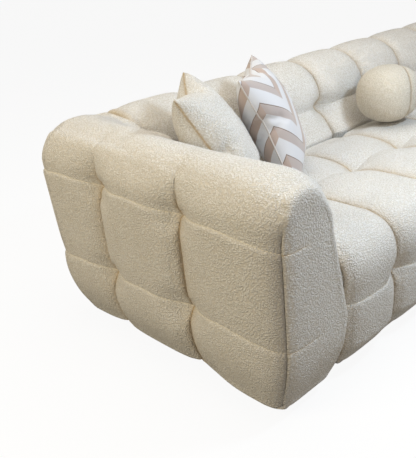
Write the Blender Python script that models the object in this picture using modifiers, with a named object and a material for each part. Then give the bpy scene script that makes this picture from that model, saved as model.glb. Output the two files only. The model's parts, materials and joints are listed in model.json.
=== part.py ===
"""Tufted L-shaped sectional sofa: a sofa and a chaise hooked side by side, with three loose pillows.

Metres, +Z up. The pieces are laid out from the sofa's front left corner: X runs along the sofa and Y from
the front to the back. One empty carries them all and is moved at the end, so that the part's origin is the
middle of its footprint, on the floor. Cover sizes are measured along the seams, and the stuffing swells out
from there.
"""
import math

import bmesh
import bpy
from mathutils import Matrix, Vector
from mathutils.bvhtree import BVHTree

# Plan of the two sections
COLUMN_PITCH = 0.315        # width of one tufted column of the seat and the back
SOFA_COLUMNS = 7
CHAISE_COLUMNS = 3
ARM_CORNER = 0.265          # arm's outer face to the seam where the back starts
DEPTH = 1.015               # front of the sofa section to the rear face
CHAISE_REACH = 0.66         # how far the chaise runs out ahead of the sofa section
SEAT_FRONT = 0.025          # front of the sofa section to its seat's front seam
SEAT_BACK_GAP = 0.035       # rear end of the seat pads to the foot of the back
SECTION_GAP = 0.003         # between the covers of the two sections

# Heights
FOOT_HEIGHT = 0.045
BASE_HEIGHT = 0.050         # lower edge of the covers
RAIL_TOP = 0.240
SEAT_HEIGHT = 0.412
ARM_TOP = 0.675             # shoulders of the arms
BACK_TOP = 0.655            # shoulders of the back
CREST = 0.026               # rise of their tops between the shoulders
LOW_SEAM = 0.242            # row seams round the arms and the rear
HIGH_SEAM = 0.534
FRONT_SEAM = 0.254          # row seam on the seat's front

# Arms and back, as widths across the top, at the high seam and at the low seam
ARM_WIDTHS = (0.165, 0.235, 0.305)
BACK_WIDTHS = (0.195, 0.258, 0.325)
SHOULDER = 0.028            # how far the shoulder stands in from the outer face
TAPER = 0.016               # how far the low seam stands in
TUCK = 0.055                # how far the lower edge stands in
REAR_ROUND = 0.020          # the arms' rear corners are rounded off by this
FRONT_TUCK = 0.022          # the same at the front ends of the arms
ARM_COLUMNS = (0.355, 0.701)    # channels down the arms, from the front
ROW_SEAMS = (0.044, 0.396)  # row seams across the seats: the chaise repeats their spacing forwards
SEAT_TUCK = 0.012           # how far the seat's lower edge stands in
ROLL_DEPTH = 0.100          # the seat's edge rolls over from the top to the front
ROLL_HEIGHT = 0.075
SEAT_SIDE_GAP = 0.004       # seat pad to arm

# Stuffing
PUFF = 0.026                # how far a panel stands out from its seams
SEAT_PUFF = 0.042
END_PUFF = 0.014            # front and rear ends of the arms
UNDER_PUFF = 0.014          # how far a panel hangs below its seams at the lower edge
ROW_SHARE = 0.38            # depth of a row seam, as a share of a channel's
TOP_CHANNEL = 0.30          # what is left of the arms' channels on their tops
CROWN_POWER = 2.6
SEAM_SLOPE = 0.13           # width of the slope beside a seam, as a share of its panel

# Frames
CLEAR = 0.0003              # between touching pieces
BOARD = 0.030
FRAME_BOARD = 0.070         # arm and back frames
FRAME_SET = 0.085           # outer face of the arm to its frame, and rear face to the back frame
FRONT_PAD = 0.095           # stuffing ahead of the base
ARM_FRAME_TOP = 0.585
BACK_FRAME_TOP = 0.620
FRAME_BAR = 0.090           # bars left round the openings of the arm and back frames
ARM_FRAME_BAYS = 2
CROSS_RAILS = 2             # inside the sofa's base
JOINT_INSET = 0.012         # base to the joint between the sections
WEB_THICK = 0.003
STRAP_WIDTH = 0.070
STRAP_PITCH = 0.125
DUST_COVER = 0.002
FOOT_RADIUS = 0.028
FOOT_TIP_RADIUS = 0.022
FOOT_SET = 0.040            # edge of the base to a foot's axis
FOOT_SIDES = 24
BOLT_RADIUS = 0.004
BOLT_LENGTH = 0.085
BOLT_HEAD_RADIUS = 0.010
BOLT_HEAD = 0.006
BOLT_HEIGHT = 0.110
ARM_BOLT_PLACES = (0.300, 0.680)    # from the front
BACK_BOLT_SHARES = (0.25, 0.75)     # along the clear width of a section's base
BOLT_SLACK = 0.0004
BOLT_SIDES = 16
SHARP_EDGE = math.radians(40)

# Hook brackets between the sections
BRACKET_PLATE = 0.004
BRACKET_WIDTH = 0.070
BRACKET_FOOT = 0.080        # floor to the lower end of the socket
BRACKET_TALL = 0.080
TONGUE_WIDTH = 0.040
TONGUE_THICK = 0.004
TONGUE_SLACK = 0.0015
TONGUE_DEPTH = 0.050
BRACKET_PLACES = (0.300, 0.680)     # from the front

# Pillows: place of the middle, turn to the right, lean backwards
PILLOW_THICK = 0.135
PILLOW_DRAW_IN = 0.055      # how far a pillow's sides pull in between its corners
CREAM_SIZE = 0.460
CREAM_PLACE = (0.375, 0.530, 0.650)
CREAM_TURN = math.radians(40)
CREAM_LEAN = math.radians(36)
CHEVRON_SIZE = 0.430
CHEVRON_PLACE = (0.672, 0.552, 0.640)
CHEVRON_TURN = math.radians(33)
CHEVRON_LEAN = math.radians(27)
CREAM_LIFT_LEAN = math.radians(33)  # it is drawn out upwards and back, behind the other one
BALL_SIZE = (0.258, 0.240, 0.228)
BALL_PLACE = (1.385, 0.550, 0.580)
BALL_FULLNESS = 2.3         # 2 is a true ball
PILLOW_GRID = 10
BALL_SEGMENTS = 24
BALL_RINGS = 13
LIFT_START = 0.40           # pillows are set down from this far above
REST_GAP = 0.0004

# Steps that the covers are bent in
SIDE_STEPS = 8              # up a side
LOW_STEP = 3                # where the low seam is
HIGH_STEP = 6               # where the high seam is
UPRIGHT_STEP = 5            # where the front of a seat starts to roll over
TOP_STEPS = 4               # across the top

SEAT_REAR = DEPTH - BACK_WIDTHS[2] - SEAT_BACK_GAP
JOINT_X = ARM_CORNER + SOFA_COLUMNS * COLUMN_PITCH
LENGTH = JOINT_X + CHAISE_COLUMNS * COLUMN_PITCH + ARM_CORNER
FRAME_IN = FRAME_SET + FRAME_BOARD
BACK_FRAME_FRONT = DEPTH - FRAME_IN
REAR_RAIL_FRONT = BACK_FRAME_FRONT - CLEAR - BOARD
RAIL_FOOT = FOOT_HEIGHT + DUST_COVER + 2 * CLEAR
WEB_FOOT = RAIL_TOP + CLEAR
PAD_FOOT = WEB_FOOT + WEB_THICK + CLEAR
CHAISE_FRONT = -CHAISE_REACH


def mix(low, high, share):
    return low + (high - low) * share


def clamp(share):
    return max(0.0, min(1.0, share))


def clear_scene():
    for thing in list(bpy.data.objects):
        bpy.data.objects.remove(thing, do_unlink=True)


def new_collection(name):
    collection = bpy.data.collections.new(name)
    bpy.context.scene.collection.children.link(collection)
    return collection


def finish(name, colour, roughness, metallic=0.0):
    """A material with one colour, for a kind of surface."""
    material = bpy.data.materials.new(name)
    material.use_nodes = True
    shader = material.node_tree.nodes["Principled BSDF"]
    shader.inputs["Base Color"].default_value = (*colour, 1)
    shader.inputs["Roughness"].default_value = roughness
    shader.inputs["Metallic"].default_value = metallic
    return material


clear_scene()
PARTS = new_collection("sectional_sofa")
CUTTERS = new_collection("sectional_sofa_cutters")
BOUCLE = finish("cream_boucle", (0.80, 0.76, 0.68), 0.95)
CHEVRON = finish("chevron_cotton", (0.66, 0.58, 0.50), 0.90)
PINE = finish("pine_board", (0.62, 0.45, 0.27), 0.65)
WEBBING = finish("seat_webbing", (0.30, 0.25, 0.20), 0.85)
DUST_CLOTH = finish("black_dust_cloth", (0.03, 0.03, 0.03), 0.95)
FOOT_PLASTIC = finish("black_foot_plastic", (0.025, 0.025, 0.027), 0.50)
ZINC_STEEL = finish("zinc_plated_steel", (0.62, 0.63, 0.65), 0.35, 1.0)


def new_empty(name, place, parent=None):
    empty = bpy.data.objects.new(name, None)
    empty.location = place
    empty.parent = parent
    PARTS.objects.link(empty)
    return empty


ROOT = new_empty("sofa_corner", (0, 0, 0))
CHAISE = new_empty("chaise_section", (JOINT_X, 0, 0), ROOT)


def add_piece(name, data, material, parent=ROOT, place=(0, 0, 0)):
    """Link a sub-part; its place is given from the sofa's corner, whatever its parent."""
    piece = bpy.data.objects.new(name, data)
    PARTS.objects.link(piece)
    data.materials.append(material)
    piece.parent = parent
    piece.location = Vector(place) - (parent.location if parent is not ROOT else Vector())
    return piece


def mesh_of(name, shape, closed=True):
    """Turn a bmesh into mesh data, with the faces of a closed shape pointing out."""
    if closed:
        bmesh.ops.recalc_face_normals(shape, faces=shape.faces[:])
    data = bpy.data.meshes.new(name)
    shape.to_mesh(data)
    shape.free()
    return data


def box_mesh(name, size):
    shape = bmesh.new()
    bmesh.ops.create_cube(shape, size=1, matrix=Matrix.Diagonal((*size, 1)))
    return mesh_of(name, shape)


def add_box(name, low, high, material, parent=ROOT):
    size = [high[axis] - low[axis] for axis in range(3)]
    middle = [(high[axis] + low[axis]) / 2 for axis in range(3)]
    return add_piece(name, box_mesh(name, size), material, parent, middle)


def add_cutter(name, data, place=(0, 0, 0), rotation=(0, 0, 0)):
    cutter = bpy.data.objects.new(name, data)
    CUTTERS.objects.link(cutter)
    cutter.parent = ROOT
    cutter.location = place
    cutter.rotation_euler = rotation
    cutter.hide_render = True
    cutter.display_type = 'WIRE'
    return cutter


def carve(target, cutter):
    cut = target.modifiers.new(cutter.name, 'BOOLEAN')
    cut.operation = 'DIFFERENCE'
    cut.object = cutter


def carve_box(target, label, low, high):
    """Cut a box-shaped space out of a piece."""
    name = f"{target.name}_{label}"
    size = [high[axis] - low[axis] for axis in range(3)]
    middle = [(high[axis] + low[axis]) / 2 for axis in range(3)]
    carve(target, add_cutter(name, box_mesh(name, size), middle))


def crown(position, seams):
    """How far the stuffing swells between the seams around a position: 0 at a seam, 1 half way."""
    for low, high in zip(seams, seams[1:]):
        if low - CLEAR <= position <= high + CLEAR:
            return 1 - min(1.0, abs(2 * (position - low) / (high - low) - 1)) ** CROWN_POWER
    return 0.0


def panel_cuts(seams):
    """Cuts across a run of panels: the seams, the slope at each side of a panel and its middle."""
    cuts = []
    for low, high in zip(seams, seams[1:]):
        cuts += [mix(low, high, share) for share in (0, SEAM_SLOPE, 0.5, 1 - SEAM_SLOPE)]
    return cuts[1:]


def cut_block(low, high, cuts):
    """A box, cut right through by planes across each of its axes."""
    shape = bmesh.new()
    bmesh.ops.create_cube(shape, size=1)
    for vert in shape.verts:
        vert.co = [mix(low[axis], high[axis], vert.co[axis] + 0.5) for axis in range(3)]
    for axis, places in enumerate(cuts):
        normal = Vector((axis == 0, axis == 1, axis == 2))
        for place in places:
            everything = shape.verts[:] + shape.edges[:] + shape.faces[:]
            bmesh.ops.bisect_plane(shape, geom=everything, plane_co=normal * place, plane_no=normal)
    return shape


def add_pad(name, shape, place, puff, parent):
    """Bend a cut block to its cover's seams, then swell the panels between them."""
    grid = [(vert, vert.co.copy()) for vert in shape.verts]
    for vert, spot in grid:
        vert.co = place(spot.x, spot.y, round(spot.z))
    bmesh.ops.recalc_face_normals(shape, faces=shape.faces[:])
    shape.normal_update()
    moves = [vert.normal * puff(spot.x, spot.y, round(spot.z)) for vert, spot in grid]
    for (vert, spot), move in zip(grid, moves):
        vert.co += move
    bmesh.ops.triangulate(shape, faces=shape.faces[:])
    pad = add_piece(name, mesh_of(name, shape), BOUCLE, parent)
    pad.data.shade_smooth()
    return pad


def row_crown(step):
    """Swell of the rows up a side: lower row, middle row, and the top row that runs on over the top."""
    if step > HIGH_STEP:
        return 1 - (1 - (step - HIGH_STEP) / (SIDE_STEPS - HIGH_STEP)) ** CROWN_POWER
    return crown(step, (0, LOW_STEP, HIGH_STEP))


def side_steps(heights):
    """Heights of a side's steps, from its lower edge, two seams and shoulder."""
    base, low, high, shoulder = heights
    steps = [mix(base, low, step / LOW_STEP) for step in range(LOW_STEP)]
    steps += [mix(low, high, step / (HIGH_STEP - LOW_STEP)) for step in range(HIGH_STEP - LOW_STEP)]
    upper = SIDE_STEPS - HIGH_STEP
    return steps + [mix(high, shoulder, step / upper) for step in range(upper + 1)]


def outer_inset(step):
    """How far the outer face stands in at a step: tucked under below, tapered, rounded at the shoulder."""
    if step <= LOW_STEP:
        return TAPER + (TUCK - TAPER) * (1 - step / LOW_STEP) ** CROWN_POWER
    if step <= HIGH_STEP:
        return mix(TAPER, 0, (step - LOW_STEP) / (HIGH_STEP - LOW_STEP))
    return SHOULDER * ((step - HIGH_STEP) / (SIDE_STEPS - HIGH_STEP)) ** 2


def outer_side(top):
    heights = side_steps((BASE_HEIGHT, LOW_SEAM, HIGH_SEAM, top))
    return [(outer_inset(step), height) for step, height in enumerate(heights)]


def inner_side(widths, low_seam, top):
    crest, high, low = widths
    heights = side_steps((BASE_HEIGHT, low_seam, HIGH_SEAM, top))
    stands = side_steps((low, low, high, crest))
    return list(zip(stands, heights))


def loaf_section(across, step, outer, inner):
    """A point of a padded loaf's cross-section: its distance from the outer face, and its height."""
    share = across / TOP_STEPS
    rise = step / SIDE_STEPS
    point = []
    for axis in range(2):
        left, right = outer[step][axis], inner[step][axis]
        below = mix(outer[0][axis], inner[0][axis], share)
        above = mix(outer[-1][axis], inner[-1][axis], share)
        arch = CREST * (1 - (2 * share - 1) ** 2) * rise if axis == 1 else 0
        outer_line = mix(outer[0][axis], outer[-1][axis], rise)
        inner_line = mix(inner[0][axis], inner[-1][axis], rise)
        flat = mix(outer_line, inner_line, share)
        point.append(mix(left, right, share) + mix(below, above, rise) - flat + arch)
    return point


def add_arm_pad(name, outer_x, inward, parent):
    """One arm's cover and stuffing. Its rear panel widens into the post that the back butts against."""
    seams = (0, *ARM_COLUMNS, DEPTH)
    front_seam, rear_seam = ARM_COLUMNS
    outer = outer_side(ARM_TOP)
    arm_inner = inner_side(ARM_WIDTHS, LOW_SEAM, ARM_TOP)
    post_face = ARM_CORNER - CLEAR / 2
    post_start = mix(front_seam, rear_seam, 0.5)
    post_end = mix(front_seam, rear_seam, 1 - SEAM_SLOPE)

    def place(across, along, step):
        post = clamp((along - post_start) / (post_end - post_start))
        inner = [(mix(stand, post_face, post), height) for stand, height in arm_inner]
        stand, height = loaf_section(round(across), step, outer, inner)
        front_tuck = FRONT_TUCK * (1 - min(step, LOW_STEP) / LOW_STEP) ** CROWN_POWER
        near_front = clamp(1 - along / front_seam)
        near_rear = clamp((along - rear_seam) / (DEPTH - rear_seam))
        corner = REAR_ROUND * near_rear ** CROWN_POWER * (1 - across / TOP_STEPS) ** 2
        depth = along + front_tuck * near_front - outer_inset(step) * near_rear - corner / 2
        return outer_x + inward * (stand + corner), depth, height

    def puff(across, along, step):
        across = round(across)
        is_end = along < CLEAR or along > DEPTH - CLEAR
        against_back = across == TOP_STEPS and along > post_end - CLEAR
        against_seat = across == TOP_STEPS and step <= LOW_STEP
        if against_back or against_seat:
            return 0.0
        if step == 0:
            return UNDER_PUFF * crown(along, seams) if across == 0 else 0.0
        rows = 1 - ROW_SHARE * (1 - row_crown(step))
        if is_end and 0 < across < TOP_STEPS and step < SIDE_STEPS:
            return END_PUFF * crown(across, (0, TOP_STEPS)) * rows
        fading = clamp((step - HIGH_STEP) / (SIDE_STEPS - HIGH_STEP)) * (1 - TOP_CHANNEL)
        ends = crown(min(along, DEPTH - along), (0, 2 * front_seam))
        post = clamp((along - post_start) / (post_end - post_start))
        level = mix(1, crown(across, (-TOP_STEPS, TOP_STEPS)), post) if step == SIDE_STEPS else 1
        return PUFF * rows * level * mix(crown(along, seams), ends, fading)

    cuts = (range(1, TOP_STEPS), panel_cuts(seams), range(1, SIDE_STEPS))
    shape = cut_block((0, 0, 0), (TOP_STEPS, DEPTH, SIDE_STEPS), cuts)
    return add_pad(name, shape, place, puff, parent)


def add_back_pad(name, left, right, columns, parent):
    """The back's cover and stuffing between two ends, in columns that run over the top."""
    seams = [mix(left, right, column / columns) for column in range(columns + 1)]
    outer = outer_side(BACK_TOP)
    inner = inner_side(BACK_WIDTHS, SEAT_HEIGHT, BACK_TOP)

    def place(across, along, step):
        stand, height = loaf_section(round(across), step, outer, inner)
        return along, DEPTH - stand, height

    def puff(across, along, step):
        across = round(across)
        if across == TOP_STEPS and step <= LOW_STEP:
            return 0.0
        if step == 0:
            return UNDER_PUFF * crown(along, seams) if across == 0 else 0.0
        return PUFF * crown(along, seams) * (1 - ROW_SHARE * (1 - row_crown(step)))

    cuts = (range(1, TOP_STEPS), panel_cuts(seams), range(1, SIDE_STEPS))
    shape = cut_block((0, left, 0), (TOP_STEPS, right, SIDE_STEPS), cuts)
    return add_pad(name, shape, place, puff, parent)


def roll_step(step):
    """Inset and height of the seat's edge at a step: tucked under, upright, then rolled over to the top."""
    if step <= LOW_STEP:
        share = step / LOW_STEP
        return SEAT_TUCK * (1 - share) ** CROWN_POWER, mix(BASE_HEIGHT, FRONT_SEAM, share)
    roll_foot = SEAT_HEIGHT - ROLL_HEIGHT
    if step <= UPRIGHT_STEP:
        return 0.0, mix(FRONT_SEAM, roll_foot, (step - LOW_STEP) / (UPRIGHT_STEP - LOW_STEP))
    turn = math.pi / 2 * (step - UPRIGHT_STEP) / (SIDE_STEPS - UPRIGHT_STEP)
    return ROLL_DEPTH * (1 - math.cos(turn)), roll_foot + ROLL_HEIGHT * math.sin(turn)


def add_seat_pad(name, left, right, front, column_seams, row_seams, rolled_sides, parent):
    """A seat's cover and stuffing, tufted on top and rolled over the front and over sides that show."""
    side_roll = ROLL_DEPTH if rolled_sides else 0.0
    low_x, high_x, low_y = left + side_roll, right - side_roll, front + ROLL_DEPTH
    columns = [left - side_roll, *column_seams, right + side_roll]
    rows = [front - ROLL_DEPTH, *row_seams, SEAT_REAR]

    def place(along, back, step):
        inset, height = roll_step(step)
        spread = ROLL_DEPTH - inset
        ahead = clamp(1 - (back - low_y) / (row_seams[0] - low_y))
        if rolled_sides:
            to_left = clamp(1 - (along - low_x) / (column_seams[0] - low_x))
            to_right = clamp(1 - (high_x - along) / (high_x - column_seams[-1]))
            along += spread * (to_right - to_left)
        return along, back - spread * ahead, height

    def puff(along, back, step):
        hidden_end = not rolled_sides and (along < left + CLEAR or along > right - CLEAR)
        if back > SEAT_REAR - CLEAR or hidden_end:
            return 0.0
        across, ahead = crown(along, columns), crown(back, rows)
        on_front = back < low_y + CLEAR
        if step == 0:
            return UNDER_PUFF * across if on_front else 0.0
        if step == SIDE_STEPS:
            return SEAT_PUFF * across * (1 - ROW_SHARE * (1 - ahead))
        upper = clamp((step - LOW_STEP) / (UPRIGHT_STEP - LOW_STEP))
        side = crown(step, (0, LOW_STEP)) if step < LOW_STEP else upper
        return PUFF * (across if on_front else ahead) * (1 - ROW_SHARE * (1 - side))

    column_cuts = panel_cuts([low_x, *column_seams, high_x])
    row_cuts = panel_cuts([low_y, *row_seams, SEAT_REAR])
    shape = cut_block((low_x, low_y, 0), (high_x, SEAT_REAR, SIDE_STEPS),
                      (column_cuts, row_cuts, range(1, SIDE_STEPS)))
    return add_pad(name, shape, place, puff, parent)


def frame_openings(low, high, bays):
    """Ends of the equal openings between the bars of a frame board."""
    width = (high - low - (bays + 1) * FRAME_BAR) / bays
    starts = [low + FRAME_BAR + bay * (width + FRAME_BAR) for bay in range(bays)]
    return [(start, start + width) for start in starts]


def add_arm_frame(name, outer_x, inward, parent):
    sides = sorted((outer_x + inward * FRAME_SET, outer_x + inward * FRAME_IN))
    low, high = FRONT_PAD, DEPTH - FRAME_SET
    frame = add_box(name, (sides[0], low, RAIL_FOOT), (sides[1], high, ARM_FRAME_TOP), PINE, parent)
    for start, end in frame_openings(low, high, ARM_FRAME_BAYS):
        carve_box(frame, f"opening_{start:.2f}", (sides[0] - BOARD, start, RAIL_FOOT + FRAME_BAR + BOARD),
                  (sides[1] + BOARD, end, ARM_FRAME_TOP - FRAME_BAR))
    return frame


def add_back_frame(name, left, right, bays, parent):
    low, high = BACK_FRAME_FRONT, DEPTH - FRAME_SET
    frame = add_box(name, (left, low, RAIL_FOOT), (right, high, BACK_FRAME_TOP), PINE, parent)
    for start, end in frame_openings(left, right, bays):
        carve_box(frame, f"opening_{start:.2f}", (start, low - BOARD, RAIL_FOOT + FRAME_BAR + BOARD),
                  (end, high + BOARD, BACK_FRAME_TOP - FRAME_BAR))
    return frame


def add_rail(name, low, high, parent):
    """A base board on edge between two corners of its plan."""
    return add_box(name, (*low, RAIL_FOOT), (*high, RAIL_TOP), PINE, parent)


def strap_edges(low, high):
    """Edges of the straps across a width: a strap at each end, the rest evenly between."""
    count = max(2, round((high - low - STRAP_WIDTH) / STRAP_PITCH) + 1)
    pitch = (high - low - STRAP_WIDTH) / (count - 1)
    edges = []
    for strap in range(count):
        edges += [low + strap * pitch, low + strap * pitch + STRAP_WIDTH]
    return edges


def add_webbing(name, low, high, parent):
    """Crossed straps over the base, sewn to one another where they cross."""
    across, along = strap_edges(low[0], high[0]), strap_edges(low[1], high[1])
    shape = bmesh.new()
    bmesh.ops.create_grid(shape, x_segments=len(across) - 1, y_segments=len(along) - 1, size=0.5)
    gaps = []
    for face in shape.faces:
        middle = face.calc_center_median()
        column = int((middle.x + 0.5) * (len(across) - 1))
        row = int((middle.y + 0.5) * (len(along) - 1))
        if column % 2 and row % 2:
            gaps.append(face)
    bmesh.ops.delete(shape, geom=gaps, context='FACES')
    for vert in shape.verts:
        column = round((vert.co.x + 0.5) * (len(across) - 1))
        row = round((vert.co.y + 0.5) * (len(along) - 1))
        vert.co = (across[column], along[row], WEB_FOOT)
    webbing = add_piece(name, mesh_of(name, shape, closed=False), WEBBING, parent)
    skin = webbing.modifiers.new("strap_thickness", 'SOLIDIFY')
    skin.thickness = WEB_THICK
    skin.offset = 1
    return webbing


def add_outline(name, points, thickness, material, parent, place, rotation=(0, 0, 0)):
    """A flat outline, given a thickness to both sides of its plane."""
    curve = bpy.data.curves.new(name, 'CURVE')
    curve.dimensions = '2D'
    curve.fill_mode = 'BOTH'
    curve.extrude = thickness / 2
    spline = curve.splines.new('POLY')
    spline.points.add(len(points) - 1)
    for spot, (x, y) in zip(spline.points, points):
        spot.co = (x, y, 0, 1)
    spline.use_cyclic_u = True
    piece = add_piece(name, curve, material, parent, place)
    piece.rotation_euler = rotation
    return piece


def add_foot(name, x, y, parent):
    shape = bmesh.new()
    bmesh.ops.create_cone(shape, cap_ends=True, segments=FOOT_SIDES, radius1=FOOT_TIP_RADIUS,
                          radius2=FOOT_RADIUS, depth=FOOT_HEIGHT)
    foot = add_piece(name, mesh_of(name, shape), FOOT_PLASTIC, parent, (x, y, FOOT_HEIGHT / 2))
    foot.data.shade_smooth()
    foot.data.set_sharp_from_angle(angle=SHARP_EDGE)
    return foot


def bolt_mesh(name):
    """A bolt along its own -Z, its head's underside at the origin."""
    profile = [(0, BOLT_HEAD), (BOLT_HEAD_RADIUS, BOLT_HEAD), (BOLT_HEAD_RADIUS, 0), (BOLT_RADIUS, 0),
               (BOLT_RADIUS, -BOLT_LENGTH), (0, -BOLT_LENGTH)]
    shape = bmesh.new()
    points = [shape.verts.new((radius, 0, height)) for radius, height in profile]
    edges = [shape.edges.new(pair) for pair in zip(points, points[1:])]
    bmesh.ops.spin(shape, geom=points + edges, cent=(0, 0, 0), axis=(0, 0, 1), angle=math.tau,
                   steps=BOLT_SIDES, use_merge=True)
    bmesh.ops.remove_doubles(shape, verts=shape.verts[:], dist=CLEAR / 10)
    return mesh_of(name, shape)


def add_bolt(name, place, rotation, boards, parent):
    """A bolt whose head bears on one board and whose shank runs on into the next."""
    bolt = add_piece(name, bolt_mesh(name), ZINC_STEEL, parent, place)
    bolt.rotation_euler = rotation
    bolt.data.shade_smooth()
    bolt.data.set_sharp_from_angle(angle=SHARP_EDGE)
    shape = bmesh.new()
    reach = BOLT_LENGTH + BOLT_SLACK
    bmesh.ops.create_cone(shape, cap_ends=True, segments=BOLT_SIDES, radius1=BOLT_RADIUS + BOLT_SLACK,
                          radius2=BOLT_RADIUS + BOLT_SLACK, depth=2 * reach)
    hole = add_cutter(f"{name}_hole", mesh_of(f"{name}_hole", shape), place, rotation)
    for board in boards:
        carve(board, hole)
    return bolt


def add_socket_bracket(name, y, parent):
    """The sofa's half of a connector: a lipped channel that a tongue drops into."""
    half, lip = BRACKET_WIDTH / 2, TONGUE_WIDTH / 2 - BRACKET_PLATE
    wall = TONGUE_WIDTH / 2 + TONGUE_SLACK
    front = BRACKET_PLATE + TONGUE_THICK + 2 * TONGUE_SLACK
    left = [(0, -half), (BRACKET_PLATE, -half), (BRACKET_PLATE, -wall - BRACKET_PLATE),
            (front + BRACKET_PLATE, -wall - BRACKET_PLATE), (front + BRACKET_PLATE, -lip), (front, -lip),
            (front, -wall), (BRACKET_PLATE, -wall)]
    outline = left + [(x, -y_side) for x, y_side in reversed(left)]
    place = (JOINT_X - JOINT_INSET + CLEAR, y, BRACKET_FOOT + BRACKET_TALL / 2)
    return add_outline(name, outline, BRACKET_TALL, ZINC_STEEL, parent, place)


def add_tongue_bracket(name, y, parent):
    """The chaise's half: a plate with a tongue that hangs in the socket."""
    plate_back = 2 * JOINT_INSET - 2 * CLEAR
    plate_face = plate_back - BRACKET_PLATE
    tongue_back = BRACKET_PLATE + TONGUE_SLACK
    tongue_face = tongue_back + TONGUE_THICK
    socket_top = BRACKET_FOOT + BRACKET_TALL
    bridge_foot, bridge_top = socket_top + CLEAR, socket_top + CLEAR + BRACKET_PLATE
    outline = [(tongue_back, socket_top - TONGUE_DEPTH), (tongue_face, socket_top - TONGUE_DEPTH),
               (tongue_face, bridge_foot), (plate_face, bridge_foot), (plate_face, BRACKET_FOOT),
               (plate_back, BRACKET_FOOT), (plate_back, bridge_top + BRACKET_PLATE),
               (plate_face, bridge_top + BRACKET_PLATE), (plate_face, bridge_top), (tongue_back, bridge_top)]
    upright = (math.pi / 2, 0, 0)
    place = (JOINT_X - JOINT_INSET + CLEAR, y, 0)
    return add_outline(name, outline, TONGUE_WIDTH - 2 * TONGUE_SLACK, ZINC_STEEL, parent, place, upright)


def evaluated_mesh(piece):
    """World points and faces of a piece with its modifiers."""
    bpy.context.view_layer.update()
    graph = bpy.context.evaluated_depsgraph_get()
    shown = piece.evaluated_get(graph)
    data = shown.to_mesh()
    points = [shown.matrix_world @ vert.co for vert in data.vertices]
    faces = [list(face.vertices) for face in data.polygons]
    shown.to_mesh_clear()
    return points, faces


def set_down(piece, supports, lift):
    """Lower a loose piece against its lift direction, from well above, until it meets what carries it."""
    lift = Vector(lift).normalized()
    piece.location += lift * LIFT_START
    points, faces = evaluated_mesh(piece)
    own = BVHTree.FromPolygons(points, faces)
    carriers = [evaluated_mesh(support) for support in supports]
    trees = [BVHTree.FromPolygons(*carrier) for carrier in carriers]
    drops = []
    for tree, (carrier_points, carrier_faces) in zip(trees, carriers):
        drops += [tree.ray_cast(point, -lift)[3] for point in points]
        drops += [own.ray_cast(point, lift)[3] for point in carrier_points]
    drop = min(drop for drop in drops if drop is not None)
    lowered = own
    while any(lowered.overlap(tree) for tree in trees) or lowered is own:
        drop -= REST_GAP
        lowered = BVHTree.FromPolygons([point - lift * drop for point in points], faces)
    piece.location -= lift * drop


def add_pillow(name, size, place, turn, lean, material):
    """A square knife-edge pillow: full in the middle, its sides drawn in between pointed corners."""
    shape = bmesh.new()
    bmesh.ops.create_grid(shape, x_segments=PILLOW_GRID, y_segments=PILLOW_GRID, size=1)
    for vert in shape.verts:
        u, v = (math.sin(side * math.pi / 2) for side in (vert.co.x, vert.co.y))
        x = u * (size / 2 - PILLOW_DRAW_IN / 2 * (1 - v * v))
        y = v * (size / 2 - PILLOW_DRAW_IN / 2 * (1 - u * u))
        vert.co = (x, y, PILLOW_THICK / 2 * math.sqrt((1 - u * u) * (1 - v * v)))
    pillow = add_piece(name, mesh_of(name, shape, closed=False), material, ROOT, place)
    pillow.rotation_euler = Matrix.Rotation(turn, 3, 'Z').to_euler()
    pillow.rotation_euler.rotate_axis('X', math.pi / 2 - lean)
    mirror = pillow.modifiers.new("other_face", 'MIRROR')
    mirror.use_axis = (False, False, True)
    mirror.merge_threshold = CLEAR / 10
    pillow.data.shade_smooth()
    return pillow


def add_ball(name, place):
    """A round pillow, a little squarer than a true ball."""
    shape = bmesh.new()
    bmesh.ops.create_uvsphere(shape, u_segments=BALL_SEGMENTS, v_segments=BALL_RINGS, radius=1)
    for vert in shape.verts:
        fullness = sum(abs(side) ** BALL_FULLNESS for side in vert.co) ** (-1 / BALL_FULLNESS)
        vert.co = [side * fullness * size / 2 for side, size in zip(vert.co, BALL_SIZE)]
    ball = add_piece(name, mesh_of(name, shape), BOUCLE, ROOT, place)
    ball.data.shade_smooth()
    return ball


def carve_arm_cavity(pad, outer_x, inward, back_left, back_right):
    """Room inside an arm for its frame, for the base under its inner side and for the back frame's end."""
    frame = sorted((outer_x + inward * (FRAME_SET - CLEAR), outer_x + inward * (FRAME_IN + CLEAR)))
    below = sorted((outer_x + inward * (FRAME_IN - BOARD), outer_x + inward * (2 * ARM_WIDTHS[2])))
    low_y, high_y = FRONT_PAD - CLEAR, DEPTH - FRAME_SET + CLEAR
    carve_box(pad, "frame_room", (frame[0], low_y, 0), (frame[1], high_y, ARM_FRAME_TOP + CLEAR))
    carve_box(pad, "base_room", (below[0], low_y + CLEAR / 2, 0), (below[1], BACK_FRAME_FRONT, PAD_FOOT))
    carve_box(pad, "back_frame_room", (back_left, BACK_FRAME_FRONT - CLEAR, 0),
              (back_right, high_y + CLEAR, BACK_FRAME_TOP + CLEAR))


def carve_back_cavity(pad, left, right):
    """Room inside the back for its frame, and for the rear of the base under its front stuffing."""
    high_y = DEPTH - FRAME_SET + CLEAR
    carve_box(pad, "frame_room", (left, BACK_FRAME_FRONT - CLEAR, 0), (right, high_y, BACK_FRAME_TOP + CLEAR))
    carve_box(pad, "base_room", (left, 0, 0), (right, BACK_FRAME_FRONT + BOARD, PAD_FOOT))


def add_arm_bolts(prefix, rail_face, inward, boards, parent):
    for number, y in enumerate(ARM_BOLT_PLACES, 1):
        add_bolt(f"{prefix}_arm_bolt_{number}", (rail_face, y, BOLT_HEIGHT), (0, inward * math.pi / 2, 0),
                 boards, parent)


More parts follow.
